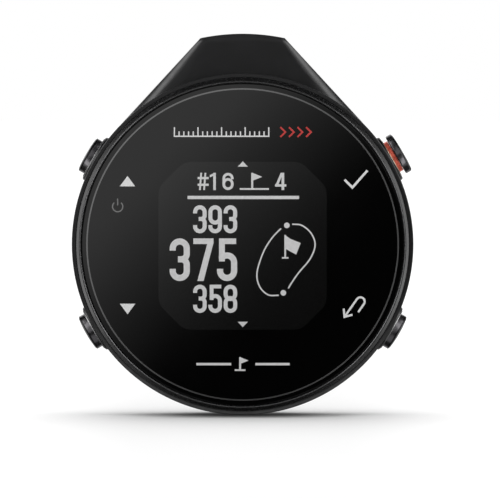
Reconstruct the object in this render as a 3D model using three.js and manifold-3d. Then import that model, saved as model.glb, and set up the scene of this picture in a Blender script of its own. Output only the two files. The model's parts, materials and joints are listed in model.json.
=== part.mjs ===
// A clip-on golf GPS handheld: a round case under a flush lens, four side buttons and a sprung
// belt clip behind it.
//
// Millimetres. The pieces are laid out with X to the right, Y up the face and Z out of the lens,
// and every depth is measured from the outer face of the rear cover, Z = 0. The last group stands
// that layout upright: the lens faces -Y, the hinge end points to +Z, and the origin is the centre
// of the lens's front face.
import * as THREE from "three";
import { mergeVertices } from "three/addons/utils/BufferGeometryUtils.js";
import Module from "manifold-3d";

// ---- Driving dimensions ----

// Case shells
const BODY_RADIUS = 24;
const CASE_BORE = 21.6;
const HOUSING_REAR = 1.35;
const HOUSING_FRONT = 8.4;
const REAR_CHAMFER_RADIUS = 23;
const REAR_CHAMFER_TOP = 2.8;
const RIM_FRONT = 9.65;
const RIM_BORE = 23.6;
const BEZEL_RADIUS = 23.5;
const BEZEL_REAR = 8.45;
const BEZEL_FRONT = 11.1;
const BEZEL_SEAT = 9.4;
const BEZEL_SEAT_BORE = 21.2;
const BEZEL_BORE = 22.74;

// Lens
const LENS_RADIUS = 22.6;
const LENS_REAR = 9.8;
const LENS_FRONT = 10.8;
const LENS_CHAMFER = 0.45;
const LENS_CHAMFER_DEPTH = 0.2;

// Lug at the top of the case, whose sides are tangents of the case wall
const LUG_TANGENT = THREE.MathUtils.degToRad(42.8);
const LUG_HALF_WIDTH = 6;
const LUG_SHOULDER = 28.9;
const LUG_PEAK = 29.7;
const LUG_REAR = 2;
const LUG_FRONT = 8;
const LUG_ROOT_RADIUS = 22.8;

// Hinge of the belt clip
const HINGE_Y = 25.4;
const HINGE_Z = -1.2;
const PIN_RADIUS = 0.75;
const PIN_HALF_LENGTH = 7.5;
const KNUCKLE_RADIUS = 1.6;
const HINGE_RELIEF_RADIUS = 2;
const EAR_INNER = 5.2;
const EAR_OUTER = 7.6;
const KNUCKLE_INNER = 2.9;
const KNUCKLE_OUTER = 5.05;

// Belt clip
const CLIP_HALF_WIDTH = 9.5;
const CLIP_TOP = 28.9;
const CLIP_TOP_HALF_WIDTH = 5;
const CLIP_BOTTOM = -13.8;
const CLIP_OUTER = -6.9;
const CLIP_INNER = -4.7;
const CLIP_NOSE = -0.85;

// Rear cover
const COVER_RADIUS = 22.9;
const COVER_THICKNESS = 1.2;
const SPIGOT_RADIUS = 21.3;
const SPIGOT_BORE = 20.2;
const SPIGOT_TOP = 2.7;
const GROOVE_RADIUS = 20.8;
const GROOVE_BOTTOM = 1.7;
const GROOVE_TOP = 2.3;

// Cover screws, M1.6
const SCREW_OFFSET = 13;
const SCREW_HEAD_RADIUS = 1.6;
const SCREW_SHANK_RADIUS = 0.8;
const SCREW_TIP = 4.5;
const SCREW_POST_RADIUS = 1.7;
const SCREW_POST_TOP = 5.4;

// Charging contacts in the rear cover
const PORT_Y = -17.6;
const PORT_OPENING = [7.2, 2.8];
const PORT_PIN_PITCH = 1.5;
const PORT_PIN_RADIUS = 0.5;

// Side buttons: heights along a button's axis are distances from the axis of the case
const BUTTON_Z = 5.2;
const BOSS_RADIUS = 3.15;
const BOSS_FACE = 24.2;
const BOSS_ROOT = 22.4;
const BUSH_RADIUS = 1.6;
const BUSH_INNER_END = 21.3;
const STEM_RADIUS = 0.85;
const STEM_END = 20.3;
const CLIP_GROOVE_RADIUS = 0.55;
const CLIP_GROOVE = [20.9, 21.25];
const SWITCH = [17, 19.3];
const SPRING_MEAN_RADIUS = 1.68;
const SPRING_WIRE_RADIUS = 0.15;

const PLAIN_BUTTON = {
  capRadius: 2.55,
  capFace: 25.37,
  capUnderside: 24,
  cavityRadius: 2.05,
  cavityTop: 24.85,
  recessRadius: 2.75,
  recessFloor: 23.3,
};
const PROUD_BUTTON = {
  capRadius: 2.9,
  capFace: 25.97,
  capUnderside: 24.87,
  recessRadius: 2.55,
  recessFloor: 23,
  collarRadius: 2.35,
  collarBore: 1.95,
  collarEnd: 23.7,
};
const BUTTONS = [
  { name: "up", angle: 150, ...PLAIN_BUTTON },
  { name: "down", angle: 210, ...PLAIN_BUTTON },
  { name: "back", angle: -30, ...PLAIN_BUTTON },
  { name: "ok", angle: 30, ...PROUD_BUTTON },
];

// Display and board stack
const PANEL = { halfWidth: 12.9, top: 12.7, bottom: -14.2, cornerCut: 4 };
const BOARD_RADIUS = 20.2; // clear of the stem clips at full press
const BOARD = [6.2, 7];
const FRAME_RADIUS = 20.6;
const FRAME = [7.1, 7.6];
const BACKLIGHT = [7.7, 8.2];
const PANEL_DEPTH = [8.3, 9.5];

// A hair of clearance between pieces that bear on each other
const CLEARANCE = 0.1;

const RING_SIDES = 60;
const CAP_SIDES = 24;
const PIN_SIDES = 12;

// ---- Materials ----

function material(color, roughness, metalness) {
  return new THREE.MeshStandardMaterial({ color, roughness, metalness });
}

const POLYMER = material(0x2b2b2d, 0.6, 0);
const BEZEL = material(0x3a3a3c, 0.4, 0.2);
const GLASS = material(0x0b0b0c, 0.08, 0);
const GUNMETAL = material(0x3c3c40, 0.35, 0.7);
const RED_ANODISED = material(0xc84a38, 0.35, 0.6);
const STEEL = material(0xb4b4b8, 0.3, 1);
const GOLD = material(0xd4b060, 0.3, 1);
const RUBBER = material(0x1a1a1a, 0.9, 0);
const BOARD_GREEN = material(0x1f4a33, 0.6, 0);
const FILM = material(0xc98a3a, 0.5, 0);
const SCREEN = material(0x141614, 0.3, 0);
const BATTERY_FOIL = material(0xc4c6c8, 0.45, 0.4);
const DIFFUSER = material(0xe8e8e4, 0.6, 0);

// ---- Shapes ----

const wasm = await Module();
wasm.setup();

// A closed geometry as a manifold-3d solid.
function solidOf(geometry) {
  const bare = geometry.clone();
  bare.deleteAttribute("normal");
  bare.deleteAttribute("uv");
  const merged = mergeVertices(bare);
  return new wasm.Manifold(
    new wasm.Mesh({
      numProp: 3,
      vertProperties: merged.attributes.position.array,
      triVerts: new Uint32Array(merged.index.array),
    }),
  );
}

function geometryOf(solid) {
  const mesh = solid.getMesh();
  const geometry = new THREE.BufferGeometry();
  geometry.setAttribute("position", new THREE.BufferAttribute(mesh.vertProperties, mesh.numProp));
  geometry.setIndex(new THREE.BufferAttribute(mesh.triVerts, 1));
  geometry.computeVertexNormals();
  return geometry;
}

function join(first, ...others) {
  return others.reduce((sum, geometry) => sum.add(solidOf(geometry)), first);
}

function cut(body, ...tools) {
  return tools.reduce((rest, geometry) => rest.subtract(solidOf(geometry)), body);
}

function box([x0, x1], [y0, y1], [z0, z1]) {
  const geometry = new THREE.BoxGeometry(x1 - x0, y1 - y0, z1 - z0);
  return geometry.translate((x0 + x1) / 2, (y0 + y1) / 2, (z0 + z1) / 2);
}

// A disc about the Z axis.
function disc(radius, [z0, z1], sides = PIN_SIDES) {
  const geometry = new THREE.CylinderGeometry(radius, radius, z1 - z0, sides);
  return geometry.rotateX(Math.PI / 2).translate(0, 0, (z0 + z1) / 2);
}

// A round bar along X, through (y, z) in the side view.
function bar(radius, [x0, x1], y, z) {
  const geometry = new THREE.CylinderGeometry(radius, radius, x1 - x0, PIN_SIDES);
  return geometry.rotateZ(-Math.PI / 2).translate((x0 + x1) / 2, y, z);
}

// A profile of [radius, z] points turned about the Z axis, listed with the solid on its left.
function turned(profile, sides = RING_SIDES) {
  const points = profile.map(([radius, z]) => new THREE.Vector2(radius, z));
  return new THREE.LatheGeometry(points, sides).rotateX(Math.PI / 2);
}

function ring(bore, radius, [z0, z1], sides = RING_SIDES) {
  const profile = [
    [bore, z0],
    [radius, z0],
    [radius, z1],
    [bore, z1],
    [bore, z0],
  ];
  return turned(profile, sides);
}

// An outline in the face view, extruded in depth.
function plate(shape, [z0, z1], curveSegments = 8) {
  const settings = { depth: z1 - z0, bevelEnabled: false, curveSegments };
  return new THREE.ExtrudeGeometry(shape, settings).translate(0, 0, z0);
}

// An outline of (y, z) points in the side view, extruded across the width.
const SIDE_VIEW = new THREE.Matrix4().makeBasis(
  new THREE.Vector3(0, 1, 0),
  new THREE.Vector3(0, 0, 1),
  new THREE.Vector3(1, 0, 0),
);

function slab(shape, [x0, x1], curveSegments = 8) {
  const settings = { depth: x1 - x0, bevelEnabled: false, curveSegments };
  const geometry = new THREE.ExtrudeGeometry(shape, settings);
  return geometry.applyMatrix4(SIDE_VIEW).translate(x0, 0, 0);
}

function roundedRectangle(width, height, radius, centreY = 0) {
  const right = width / 2 - radius;
  const top = centreY + height / 2 - radius;
  const bottom = centreY - height / 2 + radius;
  const shape = new THREE.Shape();
  shape.absarc(right, top, radius, 0, Math.PI / 2);
  shape.absarc(-right, top, radius, Math.PI / 2, Math.PI);
  shape.absarc(-right, bottom, radius, Math.PI, 1.5 * Math.PI);
  shape.absarc(right, bottom, radius, 1.5 * Math.PI, 2 * Math.PI);
  return shape;
}

function polygon(points) {
  return new THREE.Shape(points.map(([x, y]) => new THREE.Vector2(x, y)));
}

// A round wire along a list of points or a curve.
function wire(path, radius, steps) {
  const section = new THREE.Shape();
  section.absarc(0, 0, radius, 0, 2 * Math.PI);
  const settings = { steps, curveSegments: 3, bevelEnabled: false, extrudePath: path };
  return new THREE.ExtrudeGeometry(section, settings);
}

class Helix extends THREE.Curve {
  constructor(radius, [z0, z1], turns) {
    super();
    Object.assign(this, { radius, z0, z1, turns });
  }

  getPoint(t) {
    const angle = 2 * Math.PI * this.turns * t;
    const z = this.z0 + (this.z1 - this.z0) * t;
    return new THREE.Vector3(this.radius * Math.cos(angle), this.radius * Math.sin(angle), z);
  }
}

// Stands a shape that was built about the Z axis on a button's axis.
function onButtonAxis(geometry, degrees) {
  const angle = THREE.MathUtils.degToRad(degrees);
  return geometry.rotateY(Math.PI / 2).rotateZ(angle).translate(0, 0, BUTTON_Z);
}

function screwPlaces() {
  return [45, 135, 225, 315].map((degrees) => {
    const angle = THREE.MathUtils.degToRad(degrees);
    const x = SCREW_OFFSET * Math.sign(Math.cos(angle));
    const y = SCREW_OFFSET * Math.sign(Math.sin(angle));
    return { angle, x, y };
  });
}

// ---- Case shells ----

// The round wall, with a thin rim that stands round the bezel ring.
function housing() {
  const wall = turned([
    [CASE_BORE, HOUSING_REAR],
    [REAR_CHAMFER_RADIUS, HOUSING_REAR],
    [BODY_RADIUS, REAR_CHAMFER_TOP],
    [BODY_RADIUS, RIM_FRONT - 0.2],
    [BODY_RADIUS - 0.15, RIM_FRONT],
    [RIM_BORE, RIM_FRONT],
    [RIM_BORE, HOUSING_FRONT],
    [CASE_BORE, HOUSING_FRONT],
    [CASE_BORE, HOUSING_REAR],
  ]);
  let body = join(solidOf(wall), lug());
  for (const side of [-1, 1]) {
    body = cut(join(body, hingeEar(side)), hingeHole(side));
  }
  for (const place of screwPlaces()) {
    body = cut(join(body, screwPost(place), screwRib(place)), screwBore(place));
  }
  for (const button of BUTTONS) {
    body = buttonBoss(body, button);
  }
  return body;
}

function lug() {
  const x = BODY_RADIUS * Math.cos(LUG_TANGENT);
  const y = BODY_RADIUS * Math.sin(LUG_TANGENT);
  const crown = 2 * LUG_PEAK - LUG_SHOULDER;
  const shape = new THREE.Shape();
  shape.moveTo(x, y);
  shape.lineTo(LUG_HALF_WIDTH, LUG_SHOULDER);
  shape.quadraticCurveTo(0, crown, -LUG_HALF_WIDTH, LUG_SHOULDER);
  shape.lineTo(-x, y);
  shape.absarc(0, 0, LUG_ROOT_RADIUS, Math.PI - LUG_TANGENT, LUG_TANGENT, true);
  return plate(shape, [LUG_REAR, LUG_FRONT], 10);
}

function hingeEar(side) {
  const shape = new THREE.Shape();
  shape.moveTo(HINGE_Y - KNUCKLE_RADIUS, LUG_REAR + 0.5);
  shape.lineTo(HINGE_Y - KNUCKLE_RADIUS, HINGE_Z);
  shape.absarc(HINGE_Y, HINGE_Z, KNUCKLE_RADIUS, Math.PI, 2 * Math.PI);
  shape.lineTo(HINGE_Y + KNUCKLE_RADIUS, LUG_REAR + 0.5);
  return slab(shape, side > 0 ? [EAR_INNER, EAR_OUTER] : [-EAR_OUTER, -EAR_INNER]);
}

function hingeHole(side) {
  const reach = side > 0 ? [EAR_INNER - 1, EAR_OUTER + 1] : [-EAR_OUTER - 1, -EAR_INNER + 1];
  return bar(PIN_RADIUS + CLEARANCE, reach, HINGE_Y, HINGE_Z);
}

function screwPost({ x, y }) {
  return disc(SCREW_POST_RADIUS, [COVER_THICKNESS + CLEARANCE, SCREW_POST_TOP]).translate(x, y, 0);
}

// A web that ties a screw post to the case wall, above the cover's spigot.
function screwRib({ angle }) {
  const reach = [Math.SQRT2 * SCREW_OFFSET, CASE_BORE + 0.7];
  const halfWidth = 0.8;
  const depth = [SPIGOT_TOP + CLEARANCE, SCREW_POST_TOP];
  return box(reach, [-halfWidth, halfWidth], depth).rotateZ(angle);
}

function screwBore({ x, y }) {
  return disc(SCREW_SHANK_RADIUS + CLEARANCE, [0, SCREW_TIP + 0.3]).translate(x, y, 0);
}

// A flat-faced boss on the wall, a recess for the cap and a hole for the bush.
function buttonBoss(body, { angle, recessRadius, recessFloor }) {
  const boss = onButtonAxis(disc(BOSS_RADIUS, [BOSS_ROOT, BOSS_FACE], CAP_SIDES), angle);
  const recess = onButtonAxis(disc(recessRadius, [recessFloor, BOSS_FACE + 1], CAP_SIDES), angle);
  const hole = onButtonAxis(disc(BUSH_RADIUS + CLEARANCE, [21, recessFloor + 0.1]), angle);
  return cut(join(body, boss), recess, hole);
}

function bezelRing() {
  return turned([
    [BEZEL_SEAT_BORE, BEZEL_REAR],
    [BEZEL_RADIUS, BEZEL_REAR],
    [BEZEL_RADIUS, BEZEL_FRONT - 0.5],
    [BEZEL_RADIUS - 0.25, BEZEL_FRONT - 0.1],
    [BEZEL_RADIUS - 0.5, BEZEL_FRONT],
    [BEZEL_BORE, BEZEL_FRONT - 0.15],
    [BEZEL_BORE, BEZEL_SEAT],
    [BEZEL_SEAT_BORE, BEZEL_SEAT],
    [BEZEL_SEAT_BORE, BEZEL_REAR],
  ]);
}

function lens() {
  return turned([
    [0, LENS_REAR],
    [LENS_RADIUS, LENS_REAR],
    [LENS_RADIUS, LENS_FRONT - LENS_CHAMFER_DEPTH],
    [LENS_RADIUS - LENS_CHAMFER, LENS_FRONT],
    [0, LENS_FRONT],
  ]);
}

function rearCover() {
  const shell = turned([
    [0, 0],
    [COVER_RADIUS - 0.5, 0],
    [COVER_RADIUS, 0.5],
    [COVER_RADIUS, COVER_THICKNESS],
    [SPIGOT_RADIUS, COVER_THICKNESS],
    [SPIGOT_RADIUS, GROOVE_BOTTOM],
    [GROOVE_RADIUS, GROOVE_BOTTOM],
    [GROOVE_RADIUS, GROOVE_TOP],
    [SPIGOT_RADIUS, GROOVE_TOP],
    [SPIGOT_RADIUS, SPIGOT_TOP],
    [SPIGOT_BORE, SPIGOT_TOP],
    [SPIGOT_BORE, COVER_THICKNESS],
    [0, COVER_THICKNESS],
  ]);
  const opening = plate(roundedRectangle(...PORT_OPENING, 0.8, PORT_Y), [-1, 2], 4);
  const seats = screwPlaces().flatMap(({ x, y }) => [
    disc(SCREW_HEAD_RADIUS + 0.15, [-1, 0.65]).translate(x, y, 0),
    disc(SCREW_SHANK_RADIUS + 0.15, [-1, 2]).translate(x, y, 0),
  ]);
  return cut(solidOf(shell), opening, ...seats);
}

function coverScrew() {
  const blank = turned(
    [
      [0, 0.1],
      [SCREW_HEAD_RADIUS - 0.15, 0.1],
      [SCREW_HEAD_RADIUS, 0.25],
      [SCREW_HEAD_RADIUS, 0.55],
      [SCREW_SHANK_RADIUS, 0.55],
      [SCREW_SHANK_RADIUS, SCREW_TIP - 0.3],
      [0.5, SCREW_TIP],
      [0, SCREW_TIP],
    ],
    PIN_SIDES,
  );
  return cut(solidOf(blank), disc(0.75, [-1, 0.4], 6));
}

// ---- Display and electronics ----

// A square with cut corners, which is the outline of the display.
function displayOutline(inset = 0) {
  const side = PANEL.halfWidth - inset;
  const top = PANEL.top - inset;
  const bottom = PANEL.bottom + inset;
  const corner = PANEL.cornerCut;
  return polygon([
    [side, bottom + corner],
    [side, top - corner],
    [side - corner, top],
    [-side + corner, top],
    [-side, top - corner],
    [-side, bottom + corner],
    [-side + corner, bottom],
    [side - corner, bottom],
  ]);
}

function displayFrame() {
  const window = plate(displayOutline(3), [FRAME[0] - 1, FRAME[1] + 1]);
  const flexSlot = box([-6, 6], [-17.2, PANEL.bottom - 0.2], [FRAME[0] - 1, FRAME[1] + 1]);
  return cut(solidOf(disc(FRAME_RADIUS, FRAME, RING_SIDES)), window, flexSlot);
}

// A thin tail that leaves the panel's lower edge and folds down onto the board.
function displayFlex() {
  const edge = PANEL.bottom - 0.1;
  const top = PANEL_DEPTH[0] + 0.5;
  const bottom = BOARD[1] + CLEARANCE;
  const profile = polygon([
    [edge, top],
    [edge - 1.4, top],
    [edge - 2, top - 0.5],
    [edge - 2, bottom],
    [edge - 1.75, bottom],
    [edge - 1.75, top - 0.6],
    [edge - 1.3, top - 0.25],
    [edge, top - 0.25],
  ]);
  return slab(profile, [-5, 5]);
}

function mainBoard() {
  const blank = solidOf(disc(BOARD_RADIUS, BOARD, RING_SIDES));
  const notches = [90, 180, 270].map((degrees) => {
    const angle = THREE.MathUtils.degToRad(degrees);
    return disc(1.2, [BOARD[0] - 1, BOARD[1] + 1])
      .translate(BOARD_RADIUS, 0, 0)
      .rotateZ(angle);
  });
  return cut(blank, ...notches);
}

// A drawn lid, open towards the board.
function shieldCan() {
  const wall = 0.3;
  const top = BOARD[0] - 0.05;
  const lid = box([-8.5, 8.5], [-14.2, -7.4], [4.8, top]);
  const inside = box([-8.5 + wall, 8.5 - wall], [-14.2 + wall, -7.4 - wall], [4.8 + wall, top + 1]);
  return cut(solidOf(lid), inside);
}

function gpsAntenna() {
  const from = THREE.MathUtils.degToRad(50);
  const to = Math.PI - from;
  const shape = new THREE.Shape();
  shape.absarc(0, 0, 21.2, from, to);
  shape.absarc(0, 0, 20.8, to, from, true);
  return plate(shape, [4.2, 8.2], 18);
}

function battery() {
  return plate(roundedRectangle(22, 17, 1.5, 3.5), [1.5, 5.1], 4);
}

function batteryLead() {
  const profile = polygon([
    [-5.1, 2.6],
    [-6.1, 2.6],
    [-6.1, 5.8],
    [-7, 5.8],
    [-7, 6.1],
    [-5.8, 6.1],
    [-5.8, 2.9],
    [-5.1, 2.9],
  ]);
  return slab(profile, [-2.5, 2.5]);
}

function chargePins() {
  return [-1.5, -0.5, 0.5, 1.5].map((step) => step * PORT_PIN_PITCH);
}

function chargePort() {
  const block = box([-4, 4], [PORT_Y - 1.7, PORT_Y + 1.7], [COVER_THICKNESS + CLEARANCE, 4.4]);
  const nose = plate(roundedRectangle(6.6, 2.2, 0.6, PORT_Y), [0.55, 2], 4);
  const pockets = chargePins().map((x) => {
    return disc(PORT_PIN_RADIUS + 0.07, [0, 1]).translate(x, PORT_Y, 0);
  });
  return cut(join(solidOf(block), nose), ...pockets);
}

// ---- Buttons, built about the Z axis and stood on their own axes by a group ----

// The stem that every cap has, from the cap's underside to the switch, with its clip groove.
function stemProfile() {
  return [
    [0, STEM_END],
    [STEM_RADIUS, STEM_END],
    [STEM_RADIUS, CLIP_GROOVE[0]],
    [CLIP_GROOVE_RADIUS, CLIP_GROOVE[0]],
    [CLIP_GROOVE_RADIUS, CLIP_GROOVE[1]],
    [STEM_RADIUS, CLIP_GROOVE[1]],
  ];
}

function buttonCap({ capRadius, capFace, capUnderside, cavityRadius, cavityTop }) {
  const skirt = cavityRadius
    ? [
        [STEM_RADIUS, cavityTop],
        [cavityRadius, cavityTop],
        [cavityRadius, capUnderside],
      ]
    : [[STEM_RADIUS, capUnderside]];
  return turned(
    [
      ...stemProfile(),
      ...skirt,
      [capRadius, capUnderside],
      [capRadius, capFace - 0.35],
      [capRadius - 0.4, capFace],
      [0, capFace],
    ],
    CAP_SIDES,
  );
}

function collar({ collarRadius, collarBore, collarEnd, capUnderside }) {
  return ring(collarBore, collarRadius, [collarEnd, capUnderside - 0.05], CAP_SIDES);
}

// A sprung C of sheet steel in the stem's groove, which keeps the button in the case.
function retainer() {
  const mouth = THREE.MathUtils.degToRad(22);
  const shape = new THREE.Shape();
  shape.absarc(0, 0, 1.6, mouth, 2 * Math.PI - mouth);
  shape.absarc(0, 0, 0.62, 2 * Math.PI - 2 * mouth, 2 * mouth, true);
  return plate(shape, [CLIP_GROOVE[0] + 0.07, CLIP_GROOVE[1] - 0.08], 12);
}

function bush({ recessFloor }) {
  return ring(STEM_RADIUS + CLEARANCE, BUSH_RADIUS, [BUSH_INNER_END, recessFloor - 0.7], PIN_SIDES);
}

function seal({ recessFloor }) {
  const depth = [recessFloor - 0.6, recessFloor - 0.1];
  return ring(STEM_RADIUS + 0.08, BUSH_RADIUS, depth, PIN_SIDES);
}

function returnSpring({ recessFloor, cavityTop, capUnderside }) {
  const ceiling = cavityTop ?? capUnderside;
  const reach = [recessFloor + 0.2, ceiling - 0.2];
  return wire(new Helix(SPRING_MEAN_RADIUS, reach, 3), SPRING_WIRE_RADIUS, 24);
}

function tactileSwitch() {
  const rear = BOARD[0] - 0.05 - BUTTON_Z;
  const can = box([-rear, 0.9], [-2, 2], SWITCH);
  return join(solidOf(can), disc(0.6, [SWITCH[1] - 0.1, SWITCH[1] + 0.3], 8));
}

// ---- Belt clip ----

// The lever seen from the side, as (y, z): thumb tab, knuckle, flat tongue, hooked nose.
function leverSide() {
  const shape = new THREE.Shape();
  shape.moveTo(CLIP_TOP, -2.1);
  shape.lineTo(CLIP_TOP, -3.4);
  shape.quadraticCurveTo(27, -4.8, 24.5, -6);
  shape.quadraticCurveTo(22, CLIP_OUTER, 18.5, CLIP_OUTER);
  shape.lineTo(-6, CLIP_OUTER);
  shape.quadraticCurveTo(-9.6, CLIP_OUTER, -10.9, -4);
  shape.quadraticCurveTo(-11.4, -2.9, -12.4, -2.9);
  shape.lineTo(CLIP_BOTTOM, -3.6);
  shape.lineTo(CLIP_BOTTOM, -2);
  shape.quadraticCurveTo(-12.8, CLIP_NOSE, -12, CLIP_NOSE);
  shape.lineTo(-10.6, CLIP_NOSE);
  shape.quadraticCurveTo(-10, CLIP_NOSE, -9.2, -2.2);
  shape.quadraticCurveTo(-7.2, CLIP_INNER, -3.6, CLIP_INNER);
  shape.lineTo(18.2, CLIP_INNER);
  shape.quadraticCurveTo(21.4, CLIP_INNER, 23.4, -3);
  shape.lineTo(24.2, HINGE_Z);
  shape.lineTo(26.5, HINGE_Z);
  shape.lineTo(27.3, -2.6);
  return shape;
}

// The lever seen from the front, inside the outline of the lug at the top.
function leverFront() {
  const shape = new THREE.Shape();
  shape.moveTo(CLIP_TOP_HALF_WIDTH, CLIP_TOP);
  shape.lineTo(-CLIP_TOP_HALF_WIDTH, CLIP_TOP);
  shape.quadraticCurveTo(-8.6, 24.6, -CLIP_HALF_WIDTH, 18);
  shape.lineTo(-CLIP_HALF_WIDTH, -8);
  shape.quadraticCurveTo(-CLIP_HALF_WIDTH, CLIP_BOTTOM, -4.5, CLIP_BOTTOM);
  shape.lineTo(4.5, CLIP_BOTTOM);
  shape.quadraticCurveTo(CLIP_HALF_WIDTH, CLIP_BOTTOM, CLIP_HALF_WIDTH, -8);
  shape.lineTo(CLIP_HALF_WIDTH, 18);
  shape.quadraticCurveTo(8.6, 24.6, CLIP_TOP_HALF_WIDTH, CLIP_TOP);
  return shape;
}

function clipLever() {
  const across = solidOf(slab(leverSide(), [-CLIP_HALF_WIDTH, CLIP_HALF_WIDTH], 6));
  const blank = across.intersect(solidOf(plate(leverFront(), [-8, 0], 8)));
  const springGap = KNUCKLE_INNER - CLEARANCE;
  const earGap = KNUCKLE_OUTER + CLEARANCE;
  const reliefs = [
    [-springGap, springGap],
    [earGap, CLIP_HALF_WIDTH + 1],
    [-CLIP_HALF_WIDTH - 1, -earGap],
  ].map((reach) => bar(HINGE_RELIEF_RADIUS, reach, HINGE_Y, HINGE_Z));
  const knuckles = [
    [KNUCKLE_INNER, KNUCKLE_OUTER],
    [-KNUCKLE_OUTER, -KNUCKLE_INNER],
  ].map((reach) => bar(KNUCKLE_RADIUS, reach, HINGE_Y, HINGE_Z));
  const bore = bar(PIN_RADIUS + 0.15, [-CLIP_HALF_WIDTH, CLIP_HALF_WIDTH], HINGE_Y, HINGE_Z);
  return cut(join(cut(blank, ...reliefs), ...knuckles), bore);
}

// A torsion spring round the hinge pin. One leg bears on the lug, the other on the thumb tab.
class TorsionSpring extends THREE.Curve {
  getPoint(t) {
    const coilRadius = 1.35;
    const halfWidth = 2.3;
    const turns = 4.5;
    const legShare = 0.12;
    const start = this.coilPoint(0, coilRadius, halfWidth, turns);
    const end = this.coilPoint(1, coilRadius, halfWidth, turns);
    if (t < legShare) {
      const lugLegTip = new THREE.Vector3(-halfWidth, 28.4, 1.6);
      return lugLegTip.lerp(start, t / legShare);
    }
    if (t > 1 - legShare) {
      const tabLegTip = new THREE.Vector3(halfWidth, 28.4, -1.7);
      return tabLegTip.lerp(end, (1 - t) / legShare);
    }
    return this.coilPoint((t - legShare) / (1 - 2 * legShare), coilRadius, halfWidth, turns);
  }

  coilPoint(share, radius, halfWidth, turns) {
    const angle = Math.PI / 2 + 2 * Math.PI * turns * share;
    const x = halfWidth * (2 * share - 1);
    const y = HINGE_Y + radius * Math.cos(angle);
    const z = HINGE_Z + radius * Math.sin(angle);
    return new THREE.Vector3(x, y, z);
  }
}

// ---- Assembly ----

const model = new THREE.Group();

function addPiece(group, name, shape, finish) {
  const geometry = shape.isBufferGeometry ? shape : geometryOf(shape);
  const mesh = new THREE.Mesh(geometry, finish);
  mesh.name = name;
  group.add(mesh);
  return mesh;
}

addPiece(model, "housing", housing(), POLYMER);
addPiece(model, "bezel_ring", bezelRing(), BEZEL);
addPiece(model, "lens", lens(), GLASS);
addPiece(model, "lens_gasket", ring(21.3, 22.4, [9.45, 9.75]), RUBBER);
addPiece(model, "display_panel", plate(displayOutline(), PANEL_DEPTH), SCREEN);
addPiece(model, "display_backlight", plate(displayOutline(0.6), BACKLIGHT), DIFFUSER);
addPiece(model, "display_flex", displayFlex(), FILM);
addPiece(model, "display_frame", displayFrame(), STEEL);
addPiece(model, "main_board", mainBoard(), BOARD_GREEN);
addPiece(model, "shield_can", shieldCan(), STEEL);
addPiece(model, "gps_antenna", gpsAntenna(), FILM);
addPiece(model, "battery", battery(), BATTERY_FOIL);
addPiece(model, "battery_pad", box([-7, 7], [-1, 8], [5.15, 6.15]), RUBBER);
addPiece(model, "battery_lead", batteryLead(), FILM);
addPiece(model, "rear_cover", rearCover(), POLYMER);
addPiece(model, "rear_gasket", ring(20.9, 21.48, [1.8, 2.2]), RUBBER);
addPiece(model, "charge_port", chargePort(), POLYMER);
chargePins().forEach((x, index) => {
  const pin = addPiece(model, `charge_pin_${index + 1}`, disc(PORT_PIN_RADIUS, [0.4, 0.95]), GOLD);
  pin.position.set(x, PORT_Y, 0);
});
screwPlaces().forEach(({ x, y }, index) => {
  const screw = addPiece(model, `cover_screw_${index + 1}`, coverScrew(), STEEL);
  screw.position.set(x, y, 0);
});

for (const button of BUTTONS) {
  const turn = new THREE.Group();
  turn.rotation.z = THREE.MathUtils.degToRad(button.angle);
  turn.position.z = BUTTON_Z;
  const axis = new THREE.Group();
  axis.rotation.y = Math.PI / 2;
  turn.add(axis);
  model.add(turn);
  addPiece(axis, `${button.name}_button_cap`, buttonCap(button), GUNMETAL);
  addPiece(axis, `${button.name}_button_retainer`, retainer(), STEEL);
  addPiece(axis, `${button.name}_button_bush`, bush(button), STEEL);
  addPiece(axis, `${button.name}_button_seal`, seal(button), RUBBER);
  addPiece(axis, `${button.name}_button_spring`, returnSpring(button), STEEL);
  addPiece(axis, `${button.name}_button_switch`, tactileSwitch(), STEEL);
  if (button.collarRadius) {
    addPiece(axis, `${button.name}_button_collar`, collar(button), RED_ANODISED);
  }
}

const pinReach = [-PIN_HALF_LENGTH, PIN_HALF_LENGTH];
addPiece(model, "hinge_pin", bar(PIN_RADIUS, pinReach, HINGE_Y, HINGE_Z), STEEL);
addPiece(model, "clip_spring", wire(new TorsionSpring(), 0.24, 54), STEEL);
addPiece(model, "clip_lever", clipLever(), POLYMER);
addPiece(model, "clip_pad", box([-5.5, 5.5], [-11.95, -10.65], [-0.75, -0.2]), RUBBER);

const handheld = new THREE.Group();
handheld.add(model);
model.rotation.x = Math.PI / 2;
model.position.y = LENS_FRONT;

export default handheld;
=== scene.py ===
"""A clip-on golf GPS handheld: its finished surfaces, materials, studio and camera.

Shapes are laid out in millimetres, as the part is: X to the right, Y up the face, and Z out of the lens,
measured from the outer face of the rear cover. ROW turns that layout into the row frame, in metres.
"""

import json
import math

import bmesh
import bpy
from mathutils import Matrix, Vector


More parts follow.
